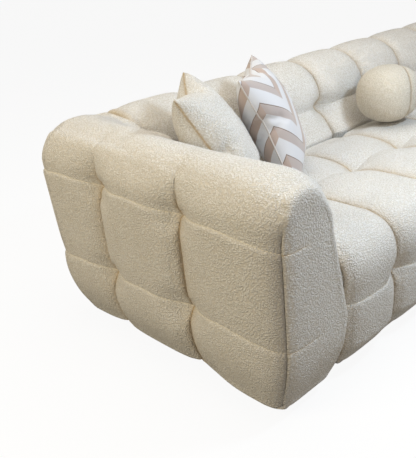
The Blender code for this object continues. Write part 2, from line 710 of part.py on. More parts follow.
def add_back_bolts(prefix, left, right, boards, parent):
    for number, share in enumerate(BACK_BOLT_SHARES, 1):
        place = (mix(left, right, share), REAR_RAIL_FRONT - CLEAR, BOLT_HEIGHT)
        add_bolt(f"{prefix}_back_bolt_{number}", place, (math.pi / 2, 0, 0), boards, parent)


def build_sofa_section():
    seam_edge = JOINT_X - SECTION_GAP / 2
    base_left, base_right = FRAME_IN + CLEAR, JOINT_X - JOINT_INSET
    base_front = FRONT_PAD
    arm_frame = add_arm_frame("sofa_arm_frame", 0, 1, ROOT)
    back_frame = add_back_frame("sofa_back_frame", base_left, base_right, SOFA_COLUMNS - 1, ROOT)

    front_inner, rear_inner = base_front + BOARD + CLEAR, REAR_RAIL_FRONT - 2 * CLEAR
    add_rail("sofa_front_rail", (base_left, base_front), (base_right, base_front + BOARD), ROOT)
    rear_rail = add_rail("sofa_rear_rail", (base_left, REAR_RAIL_FRONT - CLEAR),
                         (base_right, BACK_FRAME_FRONT - CLEAR), ROOT)
    arm_rail = add_rail("sofa_arm_rail", (base_left, front_inner), (base_left + BOARD, rear_inner), ROOT)
    add_rail("sofa_joint_rail", (base_right - BOARD, front_inner), (base_right, rear_inner), ROOT)
    for number in range(1, CROSS_RAILS + 1):
        middle = mix(base_left, base_right, number / (CROSS_RAILS + 1))
        add_rail(f"sofa_cross_rail_{number}", (middle - BOARD / 2, front_inner),
                 (middle + BOARD / 2, rear_inner), ROOT)
    web_rear = BACK_FRAME_FRONT - CLEAR
    add_webbing("sofa_seat_webbing", (ARM_WIDTHS[2], base_front), (base_right, web_rear), ROOT)

    rear_edge = DEPTH - FRAME_SET
    outline = [(FRAME_SET, base_front), (base_right, base_front),
               (base_right, rear_edge), (FRAME_SET, rear_edge)]
    add_outline("sofa_dust_cover", outline, DUST_COVER, DUST_CLOTH, ROOT,
                (0, 0, FOOT_HEIGHT + CLEAR + DUST_COVER / 2))
    spots = [FRAME_SET + FOOT_SET, mix(FRAME_SET, base_right, 0.5), base_right - FOOT_SET]
    for column, x in zip(("left", "middle", "right"), spots):
        add_foot(f"sofa_front_{column}_foot", x, base_front + FOOT_SET, ROOT)
        add_foot(f"sofa_rear_{column}_foot", x, rear_edge - FOOT_SET, ROOT)

    add_arm_bolts("sofa", base_left + BOARD, 1, (arm_rail, arm_frame), ROOT)
    add_back_bolts("sofa", base_left, base_right, (rear_rail, back_frame), ROOT)
    for number, y in enumerate(BRACKET_PLACES, 1):
        add_socket_bracket(f"socket_bracket_{number}", y, ROOT)

    arm_pad = add_arm_pad("sofa_arm_pad", 0, 1, ROOT)
    carve_arm_cavity(arm_pad, 0, 1, FRAME_IN, 2 * ARM_CORNER)
    back_pad = add_back_pad("sofa_back_pad", ARM_CORNER + CLEAR / 2, seam_edge, SOFA_COLUMNS, ROOT)
    carve_back_cavity(back_pad, 0, JOINT_X + BOARD)
    column_seams = [ARM_CORNER + column * COLUMN_PITCH for column in range(1, SOFA_COLUMNS)]
    seat_pad = add_seat_pad("sofa_seat_pad", ARM_WIDTHS[2] + SEAT_SIDE_GAP, seam_edge, SEAT_FRONT,
                            column_seams, ROW_SEAMS[1:], False, ROOT)
    carve_box(seat_pad, "base_room", (0, base_front - CLEAR, 0), (JOINT_X + BOARD, DEPTH, PAD_FOOT))
    return arm_pad, back_pad, seat_pad


def build_chaise_section():
    seam_edge = JOINT_X + SECTION_GAP / 2
    base_left, base_right = JOINT_X + JOINT_INSET, LENGTH - FRAME_IN - CLEAR
    seat_left, seat_right = seam_edge + PUFF, LENGTH - ARM_WIDTHS[2] - SEAT_SIDE_GAP - PUFF
    side_left, side_right = seat_left + FRONT_PAD, seat_right - FRONT_PAD
    base_front, arm_front = CHAISE_FRONT + FRONT_PAD, FRONT_PAD
    arm_frame = add_arm_frame("chaise_arm_frame", LENGTH, -1, CHAISE)
    back_frame = add_back_frame("chaise_back_frame", base_left, base_right, CHAISE_COLUMNS, CHAISE)

    rear_inner = REAR_RAIL_FRONT - 2 * CLEAR
    inner_left, inner_right = side_left + BOARD + CLEAR, side_right - BOARD - CLEAR
    add_rail("chaise_side_rail_left", (side_left, base_front), (side_left + BOARD, rear_inner), CHAISE)
    add_rail("chaise_side_rail_right", (side_right - BOARD, base_front), (side_right, rear_inner), CHAISE)
    add_rail("chaise_front_rail", (inner_left, base_front), (inner_right, base_front + BOARD), CHAISE)
    middle = mix(base_front, rear_inner, 0.5)
    add_rail("chaise_cross_rail", (inner_left, middle - BOARD / 2), (inner_right, middle + BOARD / 2), CHAISE)
    rear_rail = add_rail("chaise_rear_rail", (base_left, REAR_RAIL_FRONT - CLEAR),
                         (base_right, BACK_FRAME_FRONT - CLEAR), CHAISE)
    arm_rail = add_rail("chaise_arm_rail", (base_right - BOARD, arm_front), (base_right, rear_inner), CHAISE)
    add_rail("chaise_joint_rail", (base_left, arm_front), (base_left + BOARD, rear_inner), CHAISE)
    add_rail("chaise_outrigger_left", (base_left + BOARD + CLEAR, arm_front),
             (side_left - CLEAR, arm_front + BOARD), CHAISE)
    add_rail("chaise_outrigger_right", (side_right + CLEAR, arm_front),
             (base_right - BOARD - CLEAR, arm_front + BOARD), CHAISE)
    web_rear = BACK_FRAME_FRONT - CLEAR
    add_webbing("chaise_seat_webbing", (side_left, base_front), (side_right, web_rear), CHAISE)

    rear_edge, outer_edge = DEPTH - FRAME_SET, LENGTH - FRAME_SET
    outline = [(side_left, base_front), (side_right, base_front), (side_right, arm_front),
               (outer_edge, arm_front), (outer_edge, rear_edge), (base_left, rear_edge),
               (base_left, arm_front), (side_left, arm_front)]
    add_outline("chaise_dust_cover", outline, DUST_COVER, DUST_CLOTH, CHAISE,
                (0, 0, FOOT_HEIGHT + CLEAR + DUST_COVER / 2))
    spots = {"front_left": (side_left + FOOT_SET, base_front + FOOT_SET),
             "front_right": (side_right - FOOT_SET, base_front + FOOT_SET),
             "middle_left": (base_left + FOOT_SET, arm_front + FOOT_SET),
             "arm_front": (outer_edge - FOOT_SET, arm_front + FOOT_SET),
             "rear_left": (base_left + FOOT_SET, rear_edge - FOOT_SET),
             "rear_right": (outer_edge - FOOT_SET, rear_edge - FOOT_SET)}
    for label, (x, y) in spots.items():
        add_foot(f"chaise_{label}_foot", x, y, CHAISE)

    add_arm_bolts("chaise", base_right - BOARD, -1, (arm_rail, arm_frame), CHAISE)
    add_back_bolts("chaise", inner_left, inner_right, (rear_rail, back_frame), CHAISE)
    for number, y in enumerate(BRACKET_PLACES, 1):
        add_tongue_bracket(f"tongue_bracket_{number}", y, CHAISE)

    arm_pad = add_arm_pad("chaise_arm_pad", LENGTH, -1, CHAISE)
    carve_arm_cavity(arm_pad, LENGTH, -1, LENGTH - 2 * ARM_CORNER, LENGTH - FRAME_IN)
    post_face = LENGTH - ARM_CORNER - CLEAR / 2
    back_pad = add_back_pad("chaise_back_pad", seam_edge, post_face, CHAISE_COLUMNS, CHAISE)
    carve_back_cavity(back_pad, JOINT_X - BOARD, LENGTH)
    shares = [column / CHAISE_COLUMNS for column in range(1, CHAISE_COLUMNS)]
    seat_columns = [mix(seat_left, seat_right, share) for share in shares]
    row_pitch = ROW_SEAMS[1] - ROW_SEAMS[0]
    rows_ahead = int((ROW_SEAMS[0] - CHAISE_FRONT - ROLL_DEPTH) / row_pitch)
    row_seams = [ROW_SEAMS[0] - row * row_pitch for row in range(rows_ahead, 0, -1)] + list(ROW_SEAMS)
    seat_pad = add_seat_pad("chaise_seat_pad", seat_left, seat_right, CHAISE_FRONT, seat_columns, row_seams,
                            True, CHAISE)
    carve_box(seat_pad, "base_room", (side_left - CLEAR, base_front - CLEAR, 0),
              (side_right + CLEAR, DEPTH, PAD_FOOT))
    carve_box(seat_pad, "joint_room", (JOINT_X - BOARD, arm_front - CLEAR, 0), (LENGTH, DEPTH, PAD_FOOT))
    return arm_pad, back_pad, seat_pad


def add_pillows(sofa_pads):
    """The loose pillows, each set down against the sofa and the pillows before it."""
    cream = add_pillow("cream_pillow", CREAM_SIZE, CREAM_PLACE, CREAM_TURN, CREAM_LEAN, BOUCLE)
    lift = (0, math.sin(CREAM_LIFT_LEAN), math.cos(CREAM_LIFT_LEAN))
    set_down(cream, sofa_pads, lift)
    chevron = add_pillow("chevron_pillow", CHEVRON_SIZE, CHEVRON_PLACE, CHEVRON_TURN, CHEVRON_LEAN, CHEVRON)
    set_down(chevron, (*sofa_pads, cream), (0, 0, 1))
    ball = add_ball("ball_pillow", BALL_PLACE)
    set_down(ball, sofa_pads, (0, 0, 1))
    print("cream pillow lifts along", [round(side, 4) for side in lift])


def centre_on_footprint():
    """Move the whole sofa so that the origin is the middle of its footprint."""
    pieces = [piece for piece in PARTS.objects if piece.type != 'EMPTY']
    corners = [point for piece in pieces for point in evaluated_mesh(piece)[0]]
    for axis in range(2):
        sides = [corner[axis] for corner in corners]
        ROOT.location[axis] = -(min(sides) + max(sides)) / 2
    bpy.context.view_layer.update()


add_pillows(build_sofa_section())
build_chaise_section()
centre_on_footprint()
print("sofa corner at", [round(side, 5) for side in ROOT.location], "length", round(LENGTH, 3))
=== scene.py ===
# %% [markdown]
# # Dressing a tufted sectional sofa
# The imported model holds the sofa's construction: boards, webbing, feet, hooks and plain padded solids.
# This lesson loads it as a fixed frame and gives it its looks: a boucle cover that swells between its
# seams, loose pillows that are blown up as cloth, and a finish for every board and foot. Every size is in
# metres.

# %% Load the frame
import json
import math
from collections import namedtuple

import bpy
import numpy as np
from mathutils import Matrix, Vector


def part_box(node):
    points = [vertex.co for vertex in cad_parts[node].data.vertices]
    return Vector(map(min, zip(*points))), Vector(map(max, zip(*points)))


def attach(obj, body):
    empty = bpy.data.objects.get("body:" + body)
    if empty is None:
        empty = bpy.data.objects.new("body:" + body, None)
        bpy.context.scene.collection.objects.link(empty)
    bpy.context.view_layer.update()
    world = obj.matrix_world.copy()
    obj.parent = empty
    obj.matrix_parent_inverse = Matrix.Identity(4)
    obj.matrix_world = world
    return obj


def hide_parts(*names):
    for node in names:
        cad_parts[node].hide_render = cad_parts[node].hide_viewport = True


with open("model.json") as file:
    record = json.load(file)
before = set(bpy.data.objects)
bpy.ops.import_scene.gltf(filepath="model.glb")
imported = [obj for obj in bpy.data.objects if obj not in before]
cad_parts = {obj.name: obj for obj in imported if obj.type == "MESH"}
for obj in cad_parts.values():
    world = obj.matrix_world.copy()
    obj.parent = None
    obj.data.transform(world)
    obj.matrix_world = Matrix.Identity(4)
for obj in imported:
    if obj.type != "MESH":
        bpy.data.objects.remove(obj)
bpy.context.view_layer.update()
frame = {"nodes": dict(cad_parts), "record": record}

# %% [markdown]
# ## Where the sofa stands
# The covers are laid out from the sofa's front left corner, as an upholsterer measures: X along the sofa,
# Y from the front to the back, Z up. The arm's frame board stands a known way in from that corner, so its
# box tells where the corner is. The two ends and the joint between the sections come from the frame in
# the same way.

# %% Corner, joint and length of the sofa
FRAME_SET = 0.085  # outer face of an arm, or rear face of the back, to its frame board
FRONT_PAD = 0.095  # stuffing ahead of the base
JOINT_INSET = 0.012  # base to the joint between the sections

arm_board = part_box("sofa_arm_frame")
CORNER = Vector((arm_board[0].x - FRAME_SET, arm_board[0].y - FRONT_PAD, 0))
DEPTH = arm_board[1].y + FRAME_SET - CORNER.y
JOINT_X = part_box("sofa_back_frame")[1].x + JOINT_INSET - CORNER.x
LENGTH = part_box("chaise_arm_frame")[1].x + FRAME_SET - CORNER.x
print("corner", [round(side, 4) for side in CORNER])
print(f"depth {DEPTH:.3f}, joint at {JOINT_X:.3f}, length {LENGTH:.3f}")

# %% [markdown]
# ## Colours and nodes
# Colours are written as a painter would pick them from a screen, in sRGB hex. Blender's nodes want linear
# light, so one function turns them. One more small function adds a node, sets it up and links it, so that
# a material below reads as a list of what it is made of. Pattern sizes are given in millimetres. Every
# material starts from the object's own coordinates and ends in one Principled shader.

# %% Helpers of the materials
def linear(hex_colour):
    """Linear RGBA of an sRGB hex colour."""
    channels = [int(hex_colour[at:at + 2], 16) / 255 for at in (1, 3, 5)]
    return (*[c / 12.92 if c <= 0.04045 else ((c + 0.055) / 1.055) ** 2.4 for c in channels], 1.0)


def add_node(tree, kind, inputs=None, **settings):
    """Add a node; an input is given a value, or the socket or the node's first output that feeds it."""
    node = tree.nodes.new(kind)
    for name, value in settings.items():
        setattr(node, name, value)
    for name, value in (inputs or {}).items():
        if isinstance(value, bpy.types.Node):
            value = value.outputs[0]
        if isinstance(value, bpy.types.NodeSocket):
            tree.links.new(value, node.inputs[name])
        else:
            node.inputs[name].default_value = value
    return node


def per_metre(millimetres):
    """Texture scale whose pattern repeats about every so many millimetres."""
    return 1000 / millimetres


def new_material(name):
    """An empty material, its tree and its object coordinates."""
    material = bpy.data.materials.new(name)
    material.use_nodes = True
    tree = material.node_tree
    tree.nodes.clear()
    return material, tree, add_node(tree, "ShaderNodeTexCoord").outputs["Object"]


def end_material(tree, inputs):
    """Close a material: one Principled shader with these inputs, on the output."""
    shader = add_node(tree, "ShaderNodeBsdfPrincipled", inputs)
    add_node(tree, "ShaderNodeOutputMaterial", {"Surface": shader})


print("mid grey #808080 is", round(linear("#808080")[0], 3), "in linear light")

# %% [markdown]
# ## Boucle
# Boucle is woven from a looped wool yarn: the face is a dense crowd of small curls. Their colour is
# painted light and shade: brighter on the curls' tops and a warmer painted shade in the gaps between
# them. A cell pattern gives the curls, and a noise bends its coordinates so that they don't look like
# round pebbles. The same height drives the bump and the colour. Real curls are 2 to 4 mm; here they are
# drawn at 5.2 and 2.8 mm, so that they still show from two metres. Marks on the mesh say where painted
# warm shade lies in the seams' channels, where a pale line of thread and painted highlight runs along a
# row seam, and where painted dark shade fills the arm's crease.

# %% Cream boucle
CURL_MM = 5.2
FINE_CURL_MM = 2.8
FINE_SHARE = 0.45  # the fine curls lie shallower than the large ones
CURL_BEND_MM = 8.0
CURL_BEND = 0.0055
GAP_DEPTH, TIP_DEPTH = 0.95, 0.15  # values of the cell pattern between the curls and on their tops
CURL_RELIEF = 0.0036
PATCH_MM, PATCH_SHARE = 90, 0.25  # the pile is brushed a little differently from patch to patch
CREASE_SHADE_COLOUR = "#6b5f4e"  # painted dark shade deep in the arm's crease


def make_boucle(name, tip, shaded_gap, seam, thread):
    """Looped wool: matt, with painted light on the curls' tops and painted warm shade between them."""
    material, tree, place = new_material(name)
    bend = add_node(tree, "ShaderNodeTexNoise",
                    {"Vector": place, "Scale": per_metre(CURL_BEND_MM), "Detail": 2.0})
    shift = add_node(tree, "ShaderNodeVectorMath", {0: bend.outputs["Color"], 1: (0.5, 0.5, 0.5)},
                     operation='SUBTRACT')
    bent = add_node(tree, "ShaderNodeVectorMath", {0: shift, 1: (CURL_BEND,) * 3, 2: place},
                    operation='MULTIPLY_ADD')
    curls, fine = [add_node(tree, "ShaderNodeTexVoronoi",
                            {"Vector": bent, "Scale": per_metre(size)}).outputs["Distance"]
                   for size in (CURL_MM, FINE_CURL_MM)]
    depth = add_node(tree, "ShaderNodeMath", {0: fine, 1: FINE_SHARE, 2: curls}, operation='MULTIPLY_ADD')
    height = add_node(tree, "ShaderNodeMapRange", {"Value": depth, "From Min": GAP_DEPTH,
                                                   "From Max": TIP_DEPTH})
    patch = add_node(tree, "ShaderNodeTexNoise",
                     {"Vector": place, "Scale": per_metre(PATCH_MM), "Detail": 3.0})
    pile = add_node(tree, "ShaderNodeMath", {0: patch.outputs["Fac"], 1: PATCH_SHARE, 2: height},
                    operation='MULTIPLY_ADD')
    # the marks paint shade in the channels and the crease, and thread with a highlight on the row seams
    layers = [(pile, tip)]
    for mark, shade in (("seam", seam), ("line", thread), ("fold", CREASE_SHADE_COLOUR)):
        layers.append((add_node(tree, "ShaderNodeAttribute", attribute_name=mark).outputs["Fac"], shade))
    colour = linear(shaded_gap)
    for share, shade in layers:
        colour = add_node(tree, "ShaderNodeMix", {"Factor": share, 6: colour, 7: linear(shade)},
                          data_type='RGBA', clamp_factor=True).outputs[2]
    bump = add_node(tree, "ShaderNodeBump", {"Height": height, "Strength": 1.0, "Distance": CURL_RELIEF})
    end_material(tree, {"Base Color": colour, "Normal": bump, "Roughness": 0.95,
                        "Specular IOR Level": 0.15, "Sheen Weight": 0.10})
    return material


# seam: painted warm shade in the channels; thread: the pale row seam line, thread and painted highlight
cream_boucle = make_boucle("cream_wool_boucle", tip="#fcfbf9", shaded_gap="#cfc8bc", seam="#b2935c",
                           thread="#f6f0e2")
print("made", cream_boucle.name)

# %% [markdown]
# ## The covers' rule
# Every padded part is a block that is bent into a loaf, tucked under below, with seams across it at known
# places. Its cage has a line of points on every seam. Subdivision Surface rounds the cage, after a few
# turns of pushing it out so that the smooth skin passes through the seams' true places. Then the skin is
# blown up along its normals: not at all on a column seam, steeply beside it, and most half way between
# two. A row seam is only a thin line across a panel, but where it meets a column seam the tuft pulls both
# down into a pinch.

# %% Sizes that all the covers share
NEAR = 1e-4  # places closer than this are the same place
BASE_HEIGHT = 0.050
SEAT_HEIGHT = 0.412
PUFF = 0.027  # how far the middle of a panel swells
CHANNEL = 0.047  # from a panel's crest down to the seam beside it
ROW_DIP = 0.007  # depth of a row seam between the tufts
LINE_WIDTH, LINE_STRENGTH = 0.0025, 0.6  # the pale line along a row seam: thread, and a painted highlight on the lower panel's lip
ROW_ABOVE, ROW_BELOW = 0.035, 0.007  # how far the dip reaches: the upper panel hangs over the lower one
UNDER_PUFF, UNDER_CHANNEL, UNDER_REACH = 0.004, 0.022, 2.0  # near the bottom edge the cloth is taut
UNDER_POWER = 4  # how fast the swelling ends under the base
TUFT_SLOPE = 0.62  # sides of the pit round a tuft
TUFT_BLEND = 0.006  # how softly the pit runs out into the panel
TOP_STEP, HIGH_STEP, LOW_STEP = 8, 6, 3  # steps up a side: its top and its two row seams
SWELL_STEPS = 1.5  # steps over which one swelling passes into another
SIDE_STEPS = (0, LOW_STEP, HIGH_STEP, TOP_STEP)
SIDE_CUTS = (0, 0.35, 1, 2, 2.7, 3, 3.3, 4.5, 5.7, 6, 6.3, 7, 8)
ACROSS_CUTS = (0, 0.075, 0.25, 0.5, 0.75, 0.925, 1)
PANEL_SHARES = (0, 0.07, 0.24, 0.5, 0.76, 0.93)
print(f"a panel swells {PUFF * 1000:.0f} mm, and its seams lie {CHANNEL * 1000:.0f} mm below its crest")

# %% [markdown]
# ## How stuffed cloth swells
# Cloth over stuffing is tight beside a seam and full between two. A few small functions say so in
# numbers, the main one a crown over each panel. They take all points of a skin at once, as arrays, which
# is far quicker than a loop over the points.

# %% Ramps and crowns
def mix(low, high, share):
    return low + (high - low) * share


def clamp(share):
    return np.clip(share, 0.0, 1.0)


def ease(share):
    """A ramp from 0 to 1 without corners."""
    share = clamp(share)
    return share * share * (3 - 2 * share)


def crown(position, seams, power=3.5, fullness=0.5):
    """0 on a seam, 1 half way between two seams, and steep beside a seam, as stuffed cloth is."""
    position = np.asarray(position, float)
    amount = np.zeros_like(position)
    for low, high in zip(seams, seams[1:]):
        share = np.abs(2 * (position - low) / (high - low) - 1)
        inside = share <= 1
        amount[inside] = (1 - share[inside] ** power) ** fullness
    return amount


print("crown at 2, 10 and 50 % of a panel:", crown([0.02, 0.1, 0.5], (0, 1)).round(2))

# %% [markdown]
# ## Tufts and row seams
# A tuft is a knotted stitch that draws the cloth down into the padding, so the panel runs into a pit
# round it. A row seam is shallower: the cloth falls to it slowly from above and rises quickly below, as
# if the upper panel hung over the lower one. Near the bottom edge the cloth is taut and swells less.

# %% Pits, dips and sewn lines
def nearest(position, seams):
    """Distance to the nearest seam."""
    return np.min([np.abs(position - seam) for seam in seams], axis=0)


def stuffing(column, tuft_away, size, channel, tuft_depth, slope=TUFT_SLOPE):
    """Height of a stuffed panel: swollen, low at its column seams, pulled into a pit at a tuft."""
    panel = size - channel * (1 - column)
    pit = slope * tuft_away - tuft_depth
    return -TUFT_BLEND * np.logaddexp(-panel / TUFT_BLEND, -pit / TUFT_BLEND)


def under(size, channel, step):
    """Swelling and channel depth, both smaller towards the bottom edge."""
    down = 1 - ease(step / UNDER_REACH)
    return mix(size, UNDER_PUFF, down), mix(channel, UNDER_CHANNEL, down)


def row_dip(height, seams):
    """Depth of the row seams: a slow fall from above, a quick rise below, like one fold over another."""
    dip = np.zeros_like(height)
    for seam in seams:
        above = height - seam
        dip += ROW_DIP * np.where(above > 0, np.exp(-above / ROW_ABOVE), np.exp(above / ROW_BELOW))
    return dip


def row_line(height, seams):
    """Strength of the pale line of a row seam, sewn thread and a painted highlight, and 0 away from it."""
    return LINE_STRENGTH * np.exp(-nearest(height, seams) / LINE_WIDTH)


def panel_cuts(seams):
    """Cage lines over a run of panels: the seams, lines close beside them, and the middles."""
    cuts = [mix(low, high, share) for low, high in zip(seams, seams[1:]) for share in PANEL_SHARES]
    return cuts + [seams[-1]]


dips = row_dip(np.array((-0.01, 0.0, 0.01)), seams=(0,)) * 1000
print("10 mm below a row seam, on it and 10 mm above it, the dip is", dips.round(1), "mm")

# %% [markdown]
# ## Cage
# The cage is the surface of a box of small blocks. Its points are numbered once, so that the six faces
# share their edges and the skin is closed. Each point keeps its "spot", its place in the block, through
# the subdivision, and the swelling is worked out from that.

# %% Cage
def block_surface(cuts):
    """Points and quads of a box's six faces, with grid lines at the given places along each axis."""
    points, quads, numbers = [], [], {}

    def number(index):
        if index not in numbers:
            numbers[index] = len(points)
            points.append([places[at] for places, at in zip(cuts, index)])
        return numbers[index]

    for axis in range(3):
        u, v = (axis + 1) % 3, (axis + 2) % 3
        for end in (0, len(cuts[axis]) - 1):
            for i in range(len(cuts[u]) - 1):
                for j in range(len(cuts[v]) - 1):
                    loop = []
                    for du, dv in ((0, 0), (1, 0), (1, 1), (0, 1)):
                        index = [0, 0, 0]
                        index[axis], index[u], index[v] = end, i + du, j + dv
                        loop.append(number(tuple(index)))
                    quads.append(loop if end else loop[::-1])
    return points, quads


print("a cube of 8 cells shows", len(block_surface([(0, 1, 2)] * 3)[1]), "faces")

# %% [markdown]
# ## Meshes as arrays
# Blender can hand over all points of a mesh as one array and take them back, so a few functions read and
# write points, normals and marks that way. A mark is a number or a vector on every point, which a material
# can read later.

# %% Reading and writing meshes
def rows_of(data, field="vector"):
    """A vector of every point of a mesh, as rows of an array."""
    values = np.zeros(len(data) * 3, np.float32)
    data.foreach_get(field, values)
    return values.reshape(-1, 3).astype(float)


def points_of(mesh):
    return rows_of(mesh.vertices, "co")


def set_points(mesh, points):
    mesh.vertices.foreach_set("co", points.astype(np.float32).ravel())
    mesh.update()


def set_mark(mesh, name, values):
    """Keep a number or a vector on every point of a mesh."""
    kind, field = ('FLOAT', "value") if values.ndim == 1 else ('FLOAT_VECTOR', "vector")
    marks = mesh.attributes.new(name, kind, 'POINT').data
    marks.foreach_set(field, values.astype(np.float32).ravel())


print("the arm's plain solid has", len(points_of(frame["nodes"]["sofa_arm_pad"].data)), "points")

# %% [markdown]
# ## Objects
# A mesh only shows once an object holds it. Blender works out an object's modifiers in a copy, the
# evaluated object; to take the mesh from there and drop the modifiers is what Apply does in the menus.
# The faces have to look outwards, which the sign of the volume tells, and a finished piece gets smooth
# shading and its material.

# %% Making and keeping objects
def plain_mesh(thing):
    """The mesh of an object as its modifiers leave it."""
    bpy.context.view_layer.update()
    return bpy.data.meshes.new_from_object(thing.evaluated_get(bpy.context.evaluated_depsgraph_get()))


def new_object(name, points, faces, edges=()):
    mesh = bpy.data.meshes.new(name)
    mesh.from_pydata(points, edges, faces)
    thing = bpy.data.objects.new(name, mesh)
    bpy.context.scene.collection.objects.link(thing)
    return thing


def keep_shape(thing):
    """Give an object the mesh that its modifiers leave, and drop them."""
    mesh, old = plain_mesh(thing), thing.data
    thing.modifiers.clear()
    thing.data = mesh
    bpy.data.meshes.remove(old)
    mesh.name = thing.name


def face_out(points, quads):
    """The quads of a closed skin, all turned over if they face inwards."""
    corners = points[np.array(quads)]
    volume = np.linalg.det(corners[:, :3]).sum() + np.linalg.det(corners[:, [0, 2, 3]]).sum()
    return [quad[::-1] for quad in quads] if volume < 0 else quads


def dress(thing, material):
    """Smooth shading and one material for a finished piece."""
    thing.data.shade_smooth()
    thing.data.materials.append(material)
    print(thing.name, len(thing.data.polygons), "faces in", material.name)


# %% [markdown]
# ## Skin
# Subdivision rounds a cage and shrinks it. So the gap between the skin and the wanted places is measured
# and the cage is pushed out by it, a dozen times, until the skin passes through every seam. Then each
# point moves along its normal by the swelling at its spot.

# %% Skin over a cage
FITTING_TURNS = 12


def build_cover(name, cuts, place, puff, levels):
    """A padded piece's skin: cage, smooth skin through the cage's own points, then the swelling."""
    spots, quads = block_surface(cuts)
    targets = np.array([place(*spot) for spot in spots])
    cover = new_object(name, targets.tolist(), face_out(targets, quads))
    cage = cover.data
    set_mark(cage, "spot", np.array(spots, float))
    rounding = cover.modifiers.new("rounding", 'SUBSURF')
    rounding.levels = rounding.render_levels = 1
    held = targets.copy()
    at_ends = [np.isin(places, (cut[0], cut[-1])) for places, cut in zip(np.array(spots).T, cuts)]
    fitted = ~np.all(at_ends, axis=0)  # the block's eight corners stay as round as they fall
    for turn in range(FITTING_TURNS):
        limit = plain_mesh(cover)
        held[fitted] += (targets - points_of(limit)[:len(targets)])[fitted]
        bpy.data.meshes.remove(limit)
        set_points(cage, held)
    rounding.levels = rounding.render_levels = levels
    keep_shape(cover)
    skin = cover.data
    amount, *marks = puff(*rows_of(skin.attributes["spot"].data).T)
    swelling = rows_of(skin.vertex_normals) * amount[:, None]
    set_points(skin, points_of(skin) + swelling + np.array(CORNER))
    # the marks carry painted shade in channels and the crease, and pale thread with a painted highlight
    for mark, values in zip(("seam", "line", "fold"), marks):
        set_mark(skin, mark, values)
    dress(cover, cream_boucle)
    print("  it swells up to", round(float(amount.max()) * 1000), "mm")


print("each cage is fitted in", FITTING_TURNS, "turns")

# %% [markdown]
# ## Loaves
# Arms and backs have the same cross-section, like a loaf of bread: two sides and a round dome above the
# high seam. The dome is an ellipse, a little squarer on its outer half, where stuffing fills the cloth's
# shoulder. A named tuple keeps the sizes of each loaf together.

# %% Sizes and dome of a loaf
TAPER = 0.016  # the outer side leans in this much between its seams
TUCK, TUCK_POWER = 0.055, 2.6  # how far the outer side is tucked under, and how suddenly
INNER_TUCK = 0.030
INNER_POWER = 2.0  # roundness of the dome's inner half: 2 is an ellipse, more is squarer
POST_FALL = 0.3  # share of the width where a post's top starts to fall towards the back
Loaf = namedtuple("Loaf", "top crest width foot low_seam inner_seam high_seam power")
ARM = Loaf(top=0.685, crest=0.105, width=0.230, foot=0.305, low_seam=0.253, inner_seam=0.253,
           high_seam=0.543, power=2.2)
BACK = Loaf(top=0.681, crest=0.110, width=0.258, foot=0.325, low_seam=0.253, inner_seam=SEAT_HEIGHT,
            high_seam=0.523, power=2.2)


def dome(angle, loaf):
    """A point of the round top, from 0 at the high seam outside to pi at the high seam inside."""
    out, rise = math.cos(angle), math.sin(angle)
    reach, power = (loaf.crest, loaf.power) if out > 0 else (loaf.width - loaf.crest, INNER_POWER)
    stand = loaf.crest - math.copysign(reach * abs(out) ** (2 / power), out)
    return np.array((stand, loaf.high_seam + (loaf.top - loaf.high_seam) * rise ** (2 / power)))


def up_dome(step):
    """0 at the high seam, 1 where a side ends and the top begins."""
    return (step - HIGH_STEP) / (TOP_STEP - HIGH_STEP)


print("the arm's dome is", round(ARM.top - ARM.high_seam, 3), "m high")

# %% [markdown]
# ## Sides of a loaf
# Below the dome the outer side leans in a little and is tucked under at its foot, and the inner side leans
# away as it rises. A point inside the section is mixed from its four sides, which is what a front panel
# needs.

# %% Sides and inside of a loaf
def outer_side(step, loaf):
    if step > HIGH_STEP:
        return dome(math.pi / 4 * up_dome(step), loaf)
    share = step / LOW_STEP
    if step <= LOW_STEP:
        stand = TAPER + (TUCK - TAPER) * (1 - share) ** TUCK_POWER
        return np.array((stand, mix(BASE_HEIGHT, loaf.low_seam, share)))
    return np.array((TAPER * (2 - share), mix(loaf.low_seam, loaf.high_seam, share - 1)))


def inner_side(step, loaf):
    if step > HIGH_STEP:
        return dome(math.pi - math.pi / 4 * up_dome(step), loaf)
    stand = np.interp(step, (0, 1, LOW_STEP, HIGH_STEP),
                      (loaf.foot - INNER_TUCK, loaf.foot - INNER_TUCK / 4, loaf.foot, loaf.width))
    height = np.interp(step, (0, LOW_STEP, HIGH_STEP), (BASE_HEIGHT, loaf.inner_seam, loaf.high_seam))
    return np.array((stand, height))


def loaf_point(share, step, loaf, post=0.0, post_x=0.0, post_seam=0.0):
    """A point of the cross-section: its distance from the outer face, and its height."""
    def inner(level):
        stand, height = inner_side(level, loaf)
        at_post = np.interp(level, SIDE_STEPS, (BASE_HEIGHT, loaf.inner_seam, loaf.high_seam, post_seam))
        return np.array((mix(stand, post_x, post), mix(height, at_post, post)))

    top = dome(math.pi / 4 + math.pi / 2 * share, loaf)
    crest = top[1] if share < 0.5 else loaf.top
    post_top = mix(crest, post_seam, ease((share - POST_FALL) / (1 - POST_FALL)))
    flat = np.array((mix(outer_side(TOP_STEP, loaf)[0], post_x, share), post_top))
    bulge = mix(top, flat, post) - mix(outer_side(TOP_STEP, loaf), inner(TOP_STEP), share)
    side = mix(outer_side(step, loaf), inner(step), share)
    return side + bulge * ease(up_dome(step))


for name, loaf in (("arm", ARM), ("back", BACK)):
    print(name, "is", round(loaf.width - outer_side(HIGH_STEP, loaf)[0], 3), "m thick at its high seam")

# %% [markdown]
# ## Arms
# Two channels run down an arm and fade out over its round top, and two row seams run round it. A seam
# closes the front panel along its outer edge; the other front edges are soft. The rear panel widens into
# the post that the back butts against, and the cover lies flat there.

